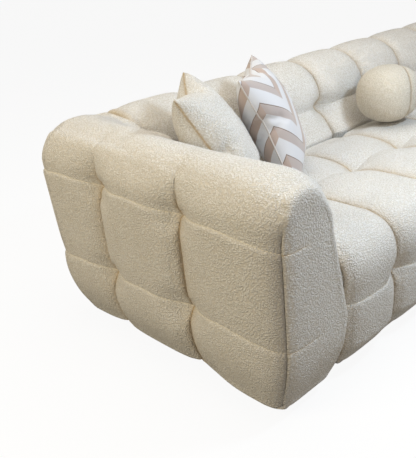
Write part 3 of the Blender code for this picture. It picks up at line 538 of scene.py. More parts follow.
# %% Sizes of an arm
ARM_CORNER = 0.265  # outer face to the seam between the post and the back
POST_SEAM = 0.652  # lowest height of the seam where an arm's post meets the back
POST_FLAT = 0.95  # share of the swelling that the back's pressure takes from the post
FRONT_COLUMN, REAR_COLUMN = 0.355, 0.701  # the channels, from the front
ARM_COLUMNS = (FRONT_COLUMN, REAR_COLUMN)
ARM_SEAMS = (0, *ARM_COLUMNS, DEPTH)
ARM_OPEN_SEAMS = (-FRONT_COLUMN, *ARM_COLUMNS, 2 * DEPTH - REAR_COLUMN)  # as if the end panels ran on
ARM_HEIGHTS = (BASE_HEIGHT, ARM.low_seam, ARM.high_seam, ARM.top)
ARM_ROWS = ARM_HEIGHTS[1:3]
POST_START, POST_END = [mix(*ARM_COLUMNS, share) for share in (0.5, 0.87)]  # here the post widens
ARM_TUFT = 0.030
ARM_SHADE_POWER = 3  # how close to a channel's bottom the painted warm shade lies
FRONT_PUFF, REAR_PUFF = 0.014, 0.004  # swelling at the two ends
CREASE_DEPTH, CREASE_REACH = 0.020, 0.014  # the sewn outer edge of the front panel
CREASE_STEPS = 1.9  # steps above the high seam in which it runs out
FOLD_SHADE, FOLD_OUTSIDE, FOLD_IN_FRONT = 0.55, 0.026, 0.006  # painted shade in it, and its reach each way
FRONT_POWER = 3.0  # the front end is squarer above than the rest of the arm
ROW_ARCH = 0.022  # a row seam rises this much between two tufts
ROW_FADE, ROW_FADE_REACH = 0.25, 0.5  # across the front panel a row seam runs out
FRONT_TUCK, FRONT_TUCK_POWER = 0.032, 1.8
FRONT_ROUND, FRONT_OUT, FRONT_IN, FRONT_DROP = 0.062, 0.014, 0.034, 0.012
TOP_ROUND, TOP_DROP, TOP_POWER = 0.110, 0.003, 4
FRONT_SPREAD, SPREAD_END, SPREAD_FADE = 0.018, 0.34, 0.20  # the foot of the front bulges out
REAR_ROUND, REAR_POWER, REAR_OUT, REAR_DROP = 0.080, 2.4, 0.024, 0.012
REAR_RISE, RISE_LOSS = 0.014, 0.9  # the top rises to the rear, less so on its inner edge
REAR_LEAN, DOME_LEAN = 1.8, 0.6
LEAN_LIMIT, LEAN_EASE = 0.038, 0.12  # further in, the rear face must still hide the wooden frame
END_REACH = 0.12  # how far an end is felt along a cover
FRONT_ROW = 0.5  # how much of a row seam's dip runs on over the front panel
TOP_CHANNEL, TOP_CHANNEL_REACH = 0.30, 0.4
FADE_STEP = 6.5  # from here the channels fade out towards the top
INNER_FLAT = 0.5  # the inner half of the top is less stuffed
print("an arm's seams lie at", [round(seam, 3) for seam in ARM_SEAMS], "m from its front")

# %% [markdown]
# ## Shape of an arm
# A spot in the arm's block is a share of the way in, a distance from the front and a step up the side. It
# is set on the loaf's section first. Then the ends are shaped: the front is rounded, tucked under and
# spread at its foot, and the rear leans in and rises to meet the back.

# %% Shape of an arm
def back_height(stand):
    """Height of the back's round top, on its inner half, at a distance from its rear face."""
    out = clamp((stand - BACK.crest) / (BACK.width - BACK.crest))
    return BACK.high_seam + (BACK.top - BACK.high_seam) * (1 - out ** INNER_POWER) ** (1 / INNER_POWER)


def post_share(along):
    """0 on the plain arm, 1 on the post."""
    return clamp((along - POST_START) / (POST_END - POST_START))


def panel_arch(along):
    """0 on a column seam, 1 half way between two."""
    low, high = next((low, high) for low, high in zip(ARM_SEAMS, ARM_SEAMS[1:]) if along <= high)
    return 1 - (2 * (along - low) / (high - low) - 1) ** 2


def arm_place(share, along, step):
    """Place of a spot: distance from the arm's outer face, distance from its front, and height."""
    post_seam = max(POST_SEAM, back_height(DEPTH - along))
    arm = ARM._replace(power=mix(ARM.power, FRONT_POWER, ease(1 - along / FRONT_COLUMN)))
    stand, height = loaf_point(share, step, arm, post_share(along), ARM_CORNER, post_seam)
    height += ROW_ARCH * panel_arch(along) * np.interp(step, SIDE_STEPS, (0, 1, 1, 0)) * (1 - share)
    front = clamp(1 - along / FRONT_ROUND) ** 2
    rear = clamp(1 - (DEPTH - along) / REAR_ROUND) ** REAR_POWER
    up = (step / TOP_STEP) ** TOP_POWER
    low = 1 - min(step, LOW_STEP) / LOW_STEP
    stand += mix(FRONT_OUT * front + REAR_OUT * rear, -FRONT_IN * front, share)
    stand -= FRONT_SPREAD * ease((SPREAD_END - along) / SPREAD_FADE) * low ** TUCK_POWER * (1 - share)
    rise = REAR_RISE * ease((along - FRONT_COLUMN) / (REAR_COLUMN - FRONT_COLUMN)) * (1 - RISE_LOSS * share)
    top_front = clamp(1 - along / TOP_ROUND) ** 2
    height += up * (rise - FRONT_DROP * front - TOP_DROP * top_front - REAR_DROP * rear)
    tuck = FRONT_TUCK * low ** FRONT_TUCK_POWER * clamp(1 - along / FRONT_COLUMN)
    lean = (REAR_LEAN if step < HIGH_STEP else DOME_LEAN) * min(outer_side(step, ARM)[0], TUCK)
    lean *= clamp((along - REAR_COLUMN) / (DEPTH - REAR_COLUMN))
    lean = mix(lean, min(lean, LEAN_LIMIT), ease(share / LEAN_EASE))
    return stand, along + tuck - lean, height


middle = arm_place(0.5, DEPTH / 2, TOP_STEP)
print("the middle of an arm's top is", [round(float(side), 3) for side in middle], "m in, back and up")

# %% [markdown]
# ## Stuffing of an arm
# The arm's panels swell between their channels, less so at both ends. Tufts and row seams pull them in,
# the sewn edge of the front panel is a sharp crease filled with painted dark shade, and the side that the
# seat and the back press on stays flat. Both arms are the same shape, one of them mirrored.

# %% Arm covers
def arm_puff(share, along, step):
    """Swelling of a spot, and how much painted seam shade, thread and highlight and crease shade it has."""
    at_front, at_rear = along < NEAR, along > DEPTH - NEAR
    on_inner, on_top = share > 1 - NEAR, step > TOP_STEP - NEAR
    height = np.interp(step, SIDE_STEPS, ARM_HEIGHTS)
    fade = ease((step - FADE_STEP) / (TOP_STEP - FADE_STEP))
    columns = crown(along, ARM_OPEN_SEAMS)
    top_channel = TOP_CHANNEL * (1 - ease(share / TOP_CHANNEL_REACH))
    columns = mix(columns, mix(1, columns, top_channel), fade)
    columns = np.where(at_rear, crown(share, (-1, 1)), columns)
    at_end = 1 - ease(np.minimum(along, DEPTH - along) / END_REACH)
    size = mix(PUFF, np.where(along < DEPTH / 2, FRONT_PUFF, REAR_PUFF), at_end)
    size, channel = under(size, CHANNEL, step)
    away = np.hypot(nearest(along, ARM_COLUMNS), nearest(height, ARM_ROWS)) + share
    amount = stuffing(columns, away, size, channel, ARM_TUFT)
    across = 1 - ease((share - ROW_FADE) / ROW_FADE_REACH)
    amount -= row_dip(height, ARM_ROWS) * across * np.where(at_front, FRONT_ROW, 1.0)
    from_crease = np.where(at_front, share * ARM.width, along + share)
    ending = 1 - ease((step - HIGH_STEP) / CREASE_STEPS)
    amount -= CREASE_DEPTH * np.exp(-from_crease / CREASE_REACH) * ending
    post = post_share(along)
    inner_half = ease((share - POST_FALL) / (1 - POST_FALL))
    flat = INNER_FLAT * ease(along / FRONT_COLUMN)
    level = np.where(on_top, 1 - mix(flat, POST_FLAT, post) * inner_half, 1.0)
    free = np.maximum(ease((step - LOW_STEP) / SWELL_STEPS), ease(1 - along / END_REACH)) * (1 - post)
    free *= 1 - flat * ease(up_dome(step))
    level = np.where(on_inner & ~on_top, free, level)
    level = np.where(step < NEAR, (1 - share) ** UNDER_POWER, level)
    row = row_line(height, ARM_ROWS)
    # a pale line of thread and painted highlight along the outer side's row seams
    line = row * (share < NEAR) * ease((along - LINE_WIDTH) / END_REACH)
    # painted dark shade in the crease, reaching further on the outer side than in front
    fold = FOLD_SHADE * ending * np.exp(-from_crease / np.where(at_front, FOLD_IN_FRONT, FOLD_OUTSIDE))
    # painted warm shade towards a channel's bottom, and a painted dark line on the front's row seams
    shaded_gap = np.maximum((1 - columns) ** ARM_SHADE_POWER, row * across * at_front)
    shaded_gap = np.where(at_rear | on_inner & (step < LOW_STEP), 0, shaded_gap)
    return amount * level, shaded_gap, line, fold


def build_arm(name, outer_x, inward, levels):
    """An arm's cover, from the place of its outer face and the way from there to the seat."""
    def place(share, along, step):
        stand, back, height = arm_place(share, along, step)
        return outer_x + inward * stand, back, height

    front_cuts = [FRONT_ROUND * share for share in (0, 0.25, 0.6, 1)]
    rear_cuts = [DEPTH - REAR_ROUND * share for share in (1, 0.6, 0.25, 0)]
    ends = (*front_cuts, *panel_cuts(ARM_SEAMS)[2:-2], *rear_cuts)
    build_cover(name, (ACROSS_CUTS, ends, SIDE_CUTS), place, arm_puff, levels)


build_arm("sofa_arm_cover", outer_x=0, inward=1, levels=3)
build_arm("chaise_arm_cover", outer_x=LENGTH, inward=-1, levels=2)

# %% [markdown]
# ## Backs
# The back is a lower loaf. Its columns run right over the top, and the inner face has one row of tufts.
# Where two loaves meet, each end is pressed flat, so an end face is a seam near its rim and plain cloth
# further in.

# %% Back covers
BACK_TUFT = 0.034
COLUMN_PITCH = 0.315
SECTION_GAP = 0.003
BACK_TOP_CHANNEL = 0.030  # over the top the seams lie shallower
END_CHANNEL = 0.020  # the seam against an arm's post is shallower
SEAM_RIM, END_RIM = 0.03, 0.15  # how far the seam's painted shade and its shape reach in from that rim
ARM_PRESS, JOINT_CLEARANCE = 0.006, -0.004  # how far an end face stands out or back
SEAT_OVERLAP = 1.2  # steps below the seat's top where the inner face starts to swell
BACK_SHADE_POWER = 2.5


def build_back(name, left, right, arm_end, columns, levels):
    seams = [mix(left, right, column / columns) for column in range(columns + 1)]
    outer_heights = (BASE_HEIGHT, BACK.low_seam, BACK.high_seam, BACK.top)
    inner_heights = (BASE_HEIGHT, BACK.inner_seam, BACK.high_seam, BACK.top)

    def place(share, along, step):
        stand, height = loaf_point(share, step, BACK)
        return along, DEPTH - stand, height

    def puff(share, along, step):
        outside = share < 0.5
        outer, inner = [np.interp(step, SIDE_STEPS, heights) for heights in (outer_heights, inner_heights)]
        height = np.where(outside, outer, inner)
        panel = crown(along, seams)
        rows = np.where(outside, nearest(height, outer_heights[1:3]), nearest(height, inner_heights[2:3]))
        dip = np.where(outside, row_dip(height, outer_heights[1:3]), row_dip(height, inner_heights[2:3]))
        size, channel = under(PUFF, CHANNEL, step)
        inner_size = PUFF * ease((step - LOW_STEP + SEAT_OVERLAP) / SWELL_STEPS)
        size = np.where(share > 1 - NEAR, inner_size, size)
        channel = mix(channel, BACK_TOP_CHANNEL, ease((step - HIGH_STEP) / SWELL_STEPS))
        channel = mix(channel, END_CHANNEL, ease(1 - np.abs(along - arm_end) / END_REACH))
        amount = stuffing(panel, np.hypot(nearest(along, seams), rows), size, channel, BACK_TUFT) - dip
        level = np.where(step < NEAR, (1 - share) ** UNDER_POWER, 1.0)
        # a pale line of thread and painted highlight along the outer row seams
        line = row_line(height, outer_heights[1:3]) * (share < NEAR)
        at_end = nearest(along, (left, right)) < NEAR
        from_rim = np.minimum(np.minimum(share, 1 - share), 1 - step / TOP_STEP)
        flat = np.where(np.abs(along - arm_end) < NEAR, ARM_PRESS, JOINT_CLEARANCE)
        amount = np.where(at_end, mix(amount, flat, ease(from_rim / END_RIM)), amount)
        # painted warm shade towards the channels, and in the seam near an end's rim
        shaded_gap = (1 - panel) ** BACK_SHADE_POWER * np.where(at_end, ease(1 - from_rim / SEAM_RIM), 1)
        return amount * level, shaded_gap, line

    build_cover(name, (ACROSS_CUTS, panel_cuts(seams), SIDE_CUTS), place, puff, levels)


SOFA_COLUMNS = round((JOINT_X - ARM_CORNER) / COLUMN_PITCH)
CHAISE_COLUMNS = round((LENGTH - ARM_CORNER - JOINT_X) / COLUMN_PITCH)
chaise_arm_x = LENGTH - ARM_CORNER
build_back("sofa_back_cover", ARM_CORNER, JOINT_X - SECTION_GAP / 2, arm_end=ARM_CORNER,
           columns=SOFA_COLUMNS, levels=3)
build_back("chaise_back_cover", JOINT_X + SECTION_GAP / 2, chaise_arm_x, arm_end=chaise_arm_x,
           columns=CHAISE_COLUMNS, levels=2)

# %% [markdown]
# ## Seats
# A seat is one deep cushion, tufted in columns and rows. Its front row rolls over the edge and down to a
# seam. The sofa's seat is shut in by its neighbours on both sides, while the chaise stands free and rolls
# over three edges.

# %% Sizes and rolled edge of a seat
SEAT_FRONT, SEAT_REAR = 0.025, 0.655  # from the arms' front
SEAT_SIDE_GAP = 0.004
CHAISE_REACH = 0.66  # how far the chaise stands out ahead of the arms
FRONT_SEAM = 0.254  # height of the seam along the front
ROW_SEAMS = (0.044, 0.386)
SEAT_TUCK = 0.012
SEAT_PUFF, SEAT_CHANNEL = 0.034, 0.024
SEAT_TUFT, SEAT_SLOPE = 0.004, 0.34
SEAT_ROW_DIP, SEAT_ROW_REACH = 0.012, 0.030
EDGE_CHANNEL, EDGE_TUFT = 0.052, 0.012
SEAT_SHADE_POWER = 2
REAR_FALL, REAR_REACH = 0.028, 0.110  # the seat sinks a little where it meets the back
ROLL_DEPTH, ROLL_HEIGHT = 0.100, 0.075
UPRIGHT_STEP = 5  # above this step the edge rolls over
SEAT_CUTS = (0, 0.35, 1, 2, 2.7, 3, 3.3, 4, 5, 6, 7, 8)
SEAT_STEPS = (0, LOW_STEP, UPRIGHT_STEP, TOP_STEP)
SEAT_HEIGHTS = (BASE_HEIGHT, FRONT_SEAM, SEAT_HEIGHT - ROLL_HEIGHT, SEAT_HEIGHT)


def roll_step(step):
    """Inset and height of the seat's edge: tucked under, upright, then rolled over to the top."""
    if step <= UPRIGHT_STEP:
        tuck = SEAT_TUCK * (1 - min(step / LOW_STEP, 1)) ** TUCK_POWER
        return tuck, float(np.interp(step, SEAT_STEPS, SEAT_HEIGHTS))
    turn = math.pi / 2 * (step - UPRIGHT_STEP) / (TOP_STEP - UPRIGHT_STEP)  # a quarter round
    return ROLL_DEPTH * (1 - math.cos(turn)), SEAT_HEIGHT - ROLL_HEIGHT * (1 - math.sin(turn))


print(f"a seat is {SEAT_HEIGHT + SEAT_PUFF:.3f} m high in the middle of a panel")

# %% [markdown]
# ## Building a seat
# The block's top is the seat, and its upright sides turn over into the top by a quarter round. A seat
# that is shut in keeps its sides plain, since nobody sees them. Towards the back the cushion sinks, so its
# rear edge lies low against the back.

# %% Seat covers
def build_seat(name, left, right, front, column_seams, row_seams, rolled_sides, levels):
    low_x, high_x, low_y = left, right, front + ROLL_DEPTH
    columns = (left, *column_seams, right)
    if rolled_sides:
        low_x, high_x = left + ROLL_DEPTH, right - ROLL_DEPTH
        columns = (2 * low_x - column_seams[0], *column_seams, 2 * high_x - column_seams[-1])
    rows_y = (2 * low_y - row_seams[0], *row_seams, SEAT_REAR)

    def place(along, back, step):
        inset, height = roll_step(step)
        spread = ROLL_DEPTH - inset
        ahead = clamp(1 - (back - low_y) / (row_seams[0] - low_y))
        if rolled_sides:
            to_left = clamp(1 - (along - low_x) / (column_seams[0] - low_x))
            to_right = clamp(1 - (high_x - along) / (high_x - column_seams[-1]))
            along += spread * (to_right - to_left)
        return along, back - spread * ahead, height

    def puff(along, back, step):
        at_front, on_top = back < low_y + NEAR, step > TOP_STEP - NEAR
        at_side = (along < low_x + NEAR) | (along > high_x - NEAR)
        height = np.interp(step, SEAT_STEPS, SEAT_HEIGHTS)
        panel, rows = crown(along, columns), crown(back, rows_y)
        rolled = ease((step - UPRIGHT_STEP) / (TOP_STEP - UPRIGHT_STEP))
        channel = mix(EDGE_CHANNEL, SEAT_CHANNEL, rolled)
        size, channel = under(SEAT_PUFF, channel, 2 * step)
        column_away, row_away = nearest(along, column_seams), nearest(back, row_seams)
        top_away, low_away = np.hypot(column_away, row_away), np.abs(height - FRONT_SEAM)
        on_seat = stuffing(panel, top_away, SEAT_PUFF, SEAT_CHANNEL, SEAT_TUFT, SEAT_SLOPE)
        on_seat -= SEAT_ROW_DIP * np.exp(-row_away / SEAT_ROW_REACH)
        on_seat -= REAR_FALL * ease((back - SEAT_REAR + REAR_REACH) / REAR_REACH)
        dip = row_dip(height, (FRONT_SEAM,))
        on_front = stuffing(panel, np.hypot(column_away, low_away), size, channel, EDGE_TUFT) - dip
        on_side = stuffing(rows, np.hypot(row_away, low_away), size, channel, EDGE_TUFT) - dip
        edge = np.where(at_front, on_front, np.where(at_side & rolled_sides, on_side, 0))
        edge = np.where((step < NEAR) & ~at_front & ~at_side, 0, edge)
        edge = np.where(back > SEAT_REAR - NEAR, on_seat * rolled, edge)
        # painted warm shade towards the channels
        shaded_gap = np.where(on_top | at_front, 1 - panel, np.where(at_side & rolled_sides, 1 - rows, 0))
        return np.where(on_top, on_seat, edge), shaded_gap ** SEAT_SHADE_POWER

    x_cuts = panel_cuts((low_x, *column_seams, high_x))
    y_cuts = panel_cuts((low_y, *row_seams, SEAT_REAR))
    build_cover(name, (x_cuts, y_cuts, SEAT_CUTS), place, puff, levels)


sofa_seams = [ARM_CORNER + column * COLUMN_PITCH for column in range(1, SOFA_COLUMNS)]
build_seat("sofa_seat_cover", ARM.foot + SEAT_SIDE_GAP, JOINT_X - SECTION_GAP / 2, SEAT_FRONT,
           sofa_seams, ROW_SEAMS[1:], rolled_sides=False, levels=3)
chaise_left = JOINT_X + SECTION_GAP / 2 + PUFF
chaise_right = LENGTH - ARM.foot - SEAT_SIDE_GAP - PUFF
chaise_seams = [mix(chaise_left, chaise_right, column / CHAISE_COLUMNS)
                for column in range(1, CHAISE_COLUMNS)]
row_pitch = ROW_SEAMS[1] - ROW_SEAMS[0]
chaise_rows = (ROW_SEAMS[0] - row_pitch, *ROW_SEAMS)
build_seat("chaise_seat_cover", chaise_left, chaise_right, -CHAISE_REACH,
           chaise_seams, chaise_rows, rolled_sides=True, levels=2)

# %% [markdown]
# ## Stitches along the row seams
# A row seam is topstitched: a heavy thread goes in and out of the cloth every centimetre. It is twisted
# polyester, with a faint silky shine and darker bars where its fibres turn away. Two colours mixed by a
# fine pattern are enough for that, and the function that mixes them makes the plain materials further
# down too.

# %% Thread
FIBRE_MM = 1.5  # drawn coarser than real fibres, so that they show
WAVE, NOISE = "ShaderNodeTexWave", "ShaderNodeTexNoise"
TWIST = [(NOISE, {"Scale": per_metre(FIBRE_MM)}, {})]  # twisted fibres show as darker bars


def two_tone(name, textures, low, high, roughness, relief=0.0, metallic=0.0):
    """A material of two colours that textures, multiplied together, mix and also emboss."""
    material, tree, place = new_material(name)
    pattern = 1.0
    for kind, inputs, settings in textures:
        texture = add_node(tree, kind, {"Vector": place, **inputs}, **settings)
        pattern = add_node(tree, "ShaderNodeMath", {0: pattern, 1: texture.outputs["Fac"]},
                           operation='MULTIPLY')
    shade = add_node(tree, "ShaderNodeMix", {"Factor": pattern, 6: linear(low), 7: linear(high)},
                     data_type='RGBA')
    surface = {"Base Color": shade.outputs[2], "Roughness": roughness, "Metallic": metallic}
    if relief:
        surface["Normal"] = add_node(tree, "ShaderNodeBump",
                                     {"Height": pattern, "Strength": 0.5, "Distance": relief})
    end_material(tree, surface)
    return material


cream_thread = two_tone("cream_polyester_thread", TWIST, "#d9cdb4", "#f3ecdc", 0.6)
print("made", cream_thread.name)

# %% [markdown]
# ## Trees that follow a path
# Hundreds of equal stitches along a path are what Geometry Nodes are for. Each tree here starts with the
# same kinds of inputs, a path, some sizes and a material. Each ends in the same way too: instances made
# real, smooth shading and the material. So two functions open and close a tree.

# %% Start and end of a tree
def new_tree(name, sizes):
    """A Geometry Nodes tree with a path, some named sizes and a material as its inputs."""
    tree = bpy.data.node_groups.new(name, 'GeometryNodeTree')
    sockets = [("Path", 'NodeSocketGeometry'), *[(size, 'NodeSocketFloat') for size in sizes],
               ("Material", 'NodeSocketMaterial')]
    for socket, kind in sockets:
        tree.interface.new_socket(socket, in_out='INPUT', socket_type=kind)
    tree.interface.new_socket("Mesh", in_out='OUTPUT', socket_type='NodeSocketGeometry')
    return tree, add_node(tree, "NodeGroupInput").outputs


def end_tree(tree, shape, material):
    """Close a tree: real, smooth geometry with its material."""
    real = add_node(tree, "GeometryNodeRealizeInstances", {"Geometry": shape})
    smooth = add_node(tree, "GeometryNodeSetShadeSmooth", {"Geometry": real})
    done = add_node(tree, "GeometryNodeSetMaterial", {"Geometry": smooth, "Material": material})
    add_node(tree, "NodeGroupOutput", {"Mesh": done})
    return tree


print("a tree takes a path, its sizes and a material, and gives a mesh")

# %% [markdown]
# ## A tree that lays stitches
# The tree turns a line of mesh edges into a curve, sets points along it at the pitch, and lays a slim
# stretched bead on each point, turned along the curve. To use it, a path is made an object of edges only,
# the tree is put on it as a modifier, and what it grows is kept as a plain mesh.

# %% Stitch tree
STITCH_PITCH, STITCH_LENGTH, STITCH_RADIUS = 0.010, 0.0085, 0.0011


def bead_run_tree():
    """Slim beads laid one after another along a path: stitches, or staples."""
    tree, given = new_tree("bead_run", ("Pitch", "Length", "Radius"))
    curve = add_node(tree, "GeometryNodeMeshToCurve", {"Mesh": given["Path"]})
    spaced = add_node(tree, "GeometryNodeResampleCurve",
                      {"Curve": curve, "Length": given["Pitch"]}, mode='LENGTH')
    bead = add_node(tree, "GeometryNodeMeshUVSphere", {"Segments": 6, "Rings": 4, "Radius": 1.0})
    half = add_node(tree, "ShaderNodeMath", {0: given["Length"], 1: 0.5}, operation='MULTIPLY')
    stretch = add_node(tree, "ShaderNodeCombineXYZ",
                       {"X": given["Radius"], "Y": given["Radius"], "Z": half})
    tangent = add_node(tree, "GeometryNodeInputTangent")
    along = add_node(tree, "FunctionNodeAlignRotationToVector", {"Vector": tangent}, axis='Z')
    beads = add_node(tree, "GeometryNodeInstanceOnPoints",
                     {"Points": spaced, "Instance": bead, "Rotation": along, "Scale": stretch})
    return end_tree(tree, beads, given["Material"])


def grow(name, paths, tree, closed=False, **values):
    """A plain mesh of what a node tree makes along some paths."""
    points, edges = [], []
    for path in paths:
        first, count = len(points), len(path)
        points += [tuple(spot) for spot in path]
        edges += [(first + at, first + at + 1) for at in range(count - 1)]
        if closed:
            edges.append((first + count - 1, first))
    thing = new_object(name, points, (), edges)
    run = thing.modifiers.new("run", 'NODES')
    run.node_group = tree
    for socket in tree.interface.items_tree:
        if socket.name in values:
            run[socket.identifier] = values[socket.name]
    keep_shape(thing)
    print(name, len(thing.data.polygons), "faces along", len(paths), "paths")


bead_run = bead_run_tree()
print("made the tree", bead_run.name, "of", len(bead_run.nodes), "nodes")

# %% [markdown]
# ## Sewing the rows
# The topstitching runs along both row seams of each arm and on along the back, once along the inside of
# the back and once along the front of the seat. Each skin still knows its spots in the block, so a path
# is the points of one face that lie on a seam's step, put in order. After that the spots have done their
# work and are taken off.

# %% Stitches of both sections
SECTIONS = ("sofa", "chaise")
PADS = ("arm", "back", "seat")
ON_SEAM = 1e-3  # in steps
STITCHES = dict(Pitch=STITCH_PITCH, Length=STITCH_LENGTH, Radius=STITCH_RADIUS, Material=cream_thread)


def seam_path(cover, axis, end, step):
    """The skin's points where the block's low or high face across an axis meets a row seam, in order."""
    spots = rows_of(cover.data.attributes["spot"].data)
    on_face = np.abs(spots[:, axis] - end(spots[:, axis])) < NEAR
    chosen = np.flatnonzero(on_face & (np.abs(spots[:, 2] - step) < ON_SEAM))
    return points_of(cover.data)[chosen[np.argsort(spots[chosen, 1 - axis])]]


def row_paths(arm, back, seat):
    """Paths of the topstitched rows of a section."""
    outside = [seam_path(cover, 0, np.min, step) for step in (LOW_STEP, HIGH_STEP) for cover in (arm, back)]
    return [*outside, seam_path(back, 0, np.max, HIGH_STEP), seam_path(seat, 1, np.min, LOW_STEP)]


for section in SECTIONS:
    covers = [bpy.data.objects[f"{section}_{pad}_cover"] for pad in PADS]
    grow(f"{section}_row_stitches", row_paths(*covers), bead_run, **STITCHES)
    for cover in covers:
        cover.data.attributes.remove(cover.data.attributes["spot"])

# %% [markdown]
# ## Loose pillows
# A throw pillow is two square sheets sewn edge to edge and stuffed. That is just what a cloth simulation
# does well: two flat sheets that share their edges are blown up by pressure, the sides draw in, and the
# corners are left as pointed ears.

# %% Cloth that is blown up
PILLOW_GRID = 44
START_LIFT = 0.03375  # the sheets start this far apart from their common plane
FRAMES = 26
STUFFING = dict(quality=6, mass=0.15, tension_stiffness=20, compression_stiffness=8, shear_stiffness=8,
                bending_stiffness=0.3, use_pressure=True, uniform_pressure_force=5.0)


def inflate(thing):
    """Blow up a closed cloth without gravity, and keep the shape it takes."""
    scene = bpy.context.scene
    cloth = thing.modifiers.new("stuffing", 'CLOTH')
    for name, value in STUFFING.items():
        setattr(cloth.settings, name, value)
    cloth.settings.effector_weights.gravity = 0
    cloth.point_cache.frame_start = 1
    cloth.point_cache.frame_end = FRAMES
    for frame_number in range(1, FRAMES + 1):
        scene.frame_set(frame_number)
    keep_shape(thing)
    scene.frame_set(1)


def sewn_sheets(name, size):
    """Two square sheets with shared edges, held a little apart in the middle."""
    steps = np.linspace(-1, 1, PILLOW_GRID + 1)
    points, quads, numbers = [], [], {}
    for side in (1, -1):
        for i, u in enumerate(steps):
            for j, v in enumerate(steps):
                on_edge = i in (0, PILLOW_GRID) or j in (0, PILLOW_GRID)
                if on_edge and (i, j, 1) in numbers:
                    numbers[i, j, side] = numbers[i, j, 1]
                    continue
                numbers[i, j, side] = len(points)
                lift = side * START_LIFT * math.sqrt((1 - u * u) * (1 - v * v))
                points.append((u * size / 2, v * size / 2, lift))
        for i in range(PILLOW_GRID):
            for j in range(PILLOW_GRID):
                corners = ((i, j), (i + 1, j), (i + 1, j + 1), (i, j + 1))
                quad = [numbers[(*corner, side)] for corner in corners]
                quads.append(quad if side > 0 else quad[::-1])
    return new_object(name, points, quads)


print("a pillow starts as two sheets of", PILLOW_GRID ** 2, "cells and is blown up for", FRAMES, "frames")

# %% [markdown]
# ## Chevron cotton
# The second pillow is a printed cotton: a zigzag of taupe bands on white, each with a darker line along
# its upper edge. One slope of the zigzag is solid and the other one paler: partly the print, partly a
# painted highlight where the light catches that slope. The pattern is worked out from the cloth's own map
# in metres: height up the cloth, plus the distance to the nearest zigzag peak times its slope, repeated
# every band.

# %% Chevron cotton
ZIGZAG_PITCH, ZIGZAG_SLOPE, PEAK_AT = 0.257, 0.855, -0.188
BAND_PITCH, BAND_SHIFT = 0.099, 0.026
BAND_SHARE, LINE_SHARE = 0.40, 0.44
SOLID_BAND = ("#b3a095", "#8b7b72", "#d1d0d2")  # band, its dark line and the white between
# the paler slope's colours: partly the print, partly a painted highlight
PRINT_AND_HIGHLIGHT_BAND = ("#b2a6a1", "#7f7068", "#d1d0d2")
WEAVE_MM, WEAVE_RELIEF = 2, 0.0006  # the weave is drawn coarser than it is, so that it shows
ZIGZAG_STEPS = (  # each row names its result, which later rows take up
    ("away", 'SUBTRACT', "across", PEAK_AT),
    ("from_peak", 'PINGPONG', "away", ZIGZAG_PITCH / 2),
    ("rise", 'MULTIPLY_ADD', "from_peak", ZIGZAG_SLOPE, "up"),
    ("shifted", 'ADD', "rise", BAND_SHIFT),
    ("bands", 'DIVIDE', "shifted", BAND_PITCH),
    ("band", 'FRACT', "bands"),
    ("zigzags", 'DIVIDE', "away", ZIGZAG_PITCH),
    ("zigzag", 'FRACT', "zigzags"),
    ("falling", 'LESS_THAN', "zigzag", 0.5),
)


def make_chevron(name):
    """Plain-woven cotton: matt, with a faint pale bloom where it turns away from the eye."""
    material, tree, place = new_material(name)
    cloth_map = add_node(tree, "ShaderNodeUVMap", uv_map="cloth")
    spot = add_node(tree, "ShaderNodeSeparateXYZ", {0: cloth_map}).outputs
    field = {"across": spot["X"], "up": spot["Y"]}
    for result, operation, *values in ZIGZAG_STEPS:
        inputs = {at: field.get(value, value) for at, value in enumerate(values)}
        field[result] = add_node(tree, "ShaderNodeMath", inputs, operation=operation)
    slopes = []
    for colours in (SOLID_BAND, PRINT_AND_HIGHLIGHT_BAND):
        ramp = add_node(tree, "ShaderNodeValToRGB", {"Fac": field["band"]})
        ramp.color_ramp.interpolation = 'CONSTANT'
        ramp.color_ramp.elements.new(LINE_SHARE)
        for element, at, colour in zip(ramp.color_ramp.elements, (0.0, BAND_SHARE, LINE_SHARE), colours):
            element.position = at
            element.color = linear(colour)
        slopes.append(ramp.outputs["Color"])
    print_colour = add_node(tree, "ShaderNodeMix", {"Factor": field["falling"], 6: slopes[0], 7: slopes[1]},
                            data_type='RGBA')
    weave = add_node(tree, "ShaderNodeTexNoise", {"Vector": place, "Scale": per_metre(WEAVE_MM)})
    bump = add_node(tree, "ShaderNodeBump",
                    {"Height": weave.outputs["Fac"], "Strength": 0.3, "Distance": WEAVE_RELIEF})
    end_material(tree, {"Base Color": print_colour.outputs[2], "Normal": bump,
                        "Roughness": 0.85, "Specular IOR Level": 0.2, "Sheen Weight": 0.4})
    return material


chevron_cotton = make_chevron("chevron_printed_cotton")
print("made", chevron_cotton.name, "with a band every", BAND_PITCH, "m")

# %% [markdown]
# ## Two square pillows
# The blown-up cloth is stretched to the size of the pillow, smoothed as if ironed, and keeps a map of the
# flat sheets, which the print follows. The cream pillow lies in the corner of the arm and the back, and
# the chevron one leans beside it. Their sizes, turns and leans are read from the photograph.

# %% Two square pillows
IRONING_TURNS = 3  # smoothing that takes out the finest wrinkles
SEAM_SHADE, SEAM_WIDTH = 0.8, 0.003


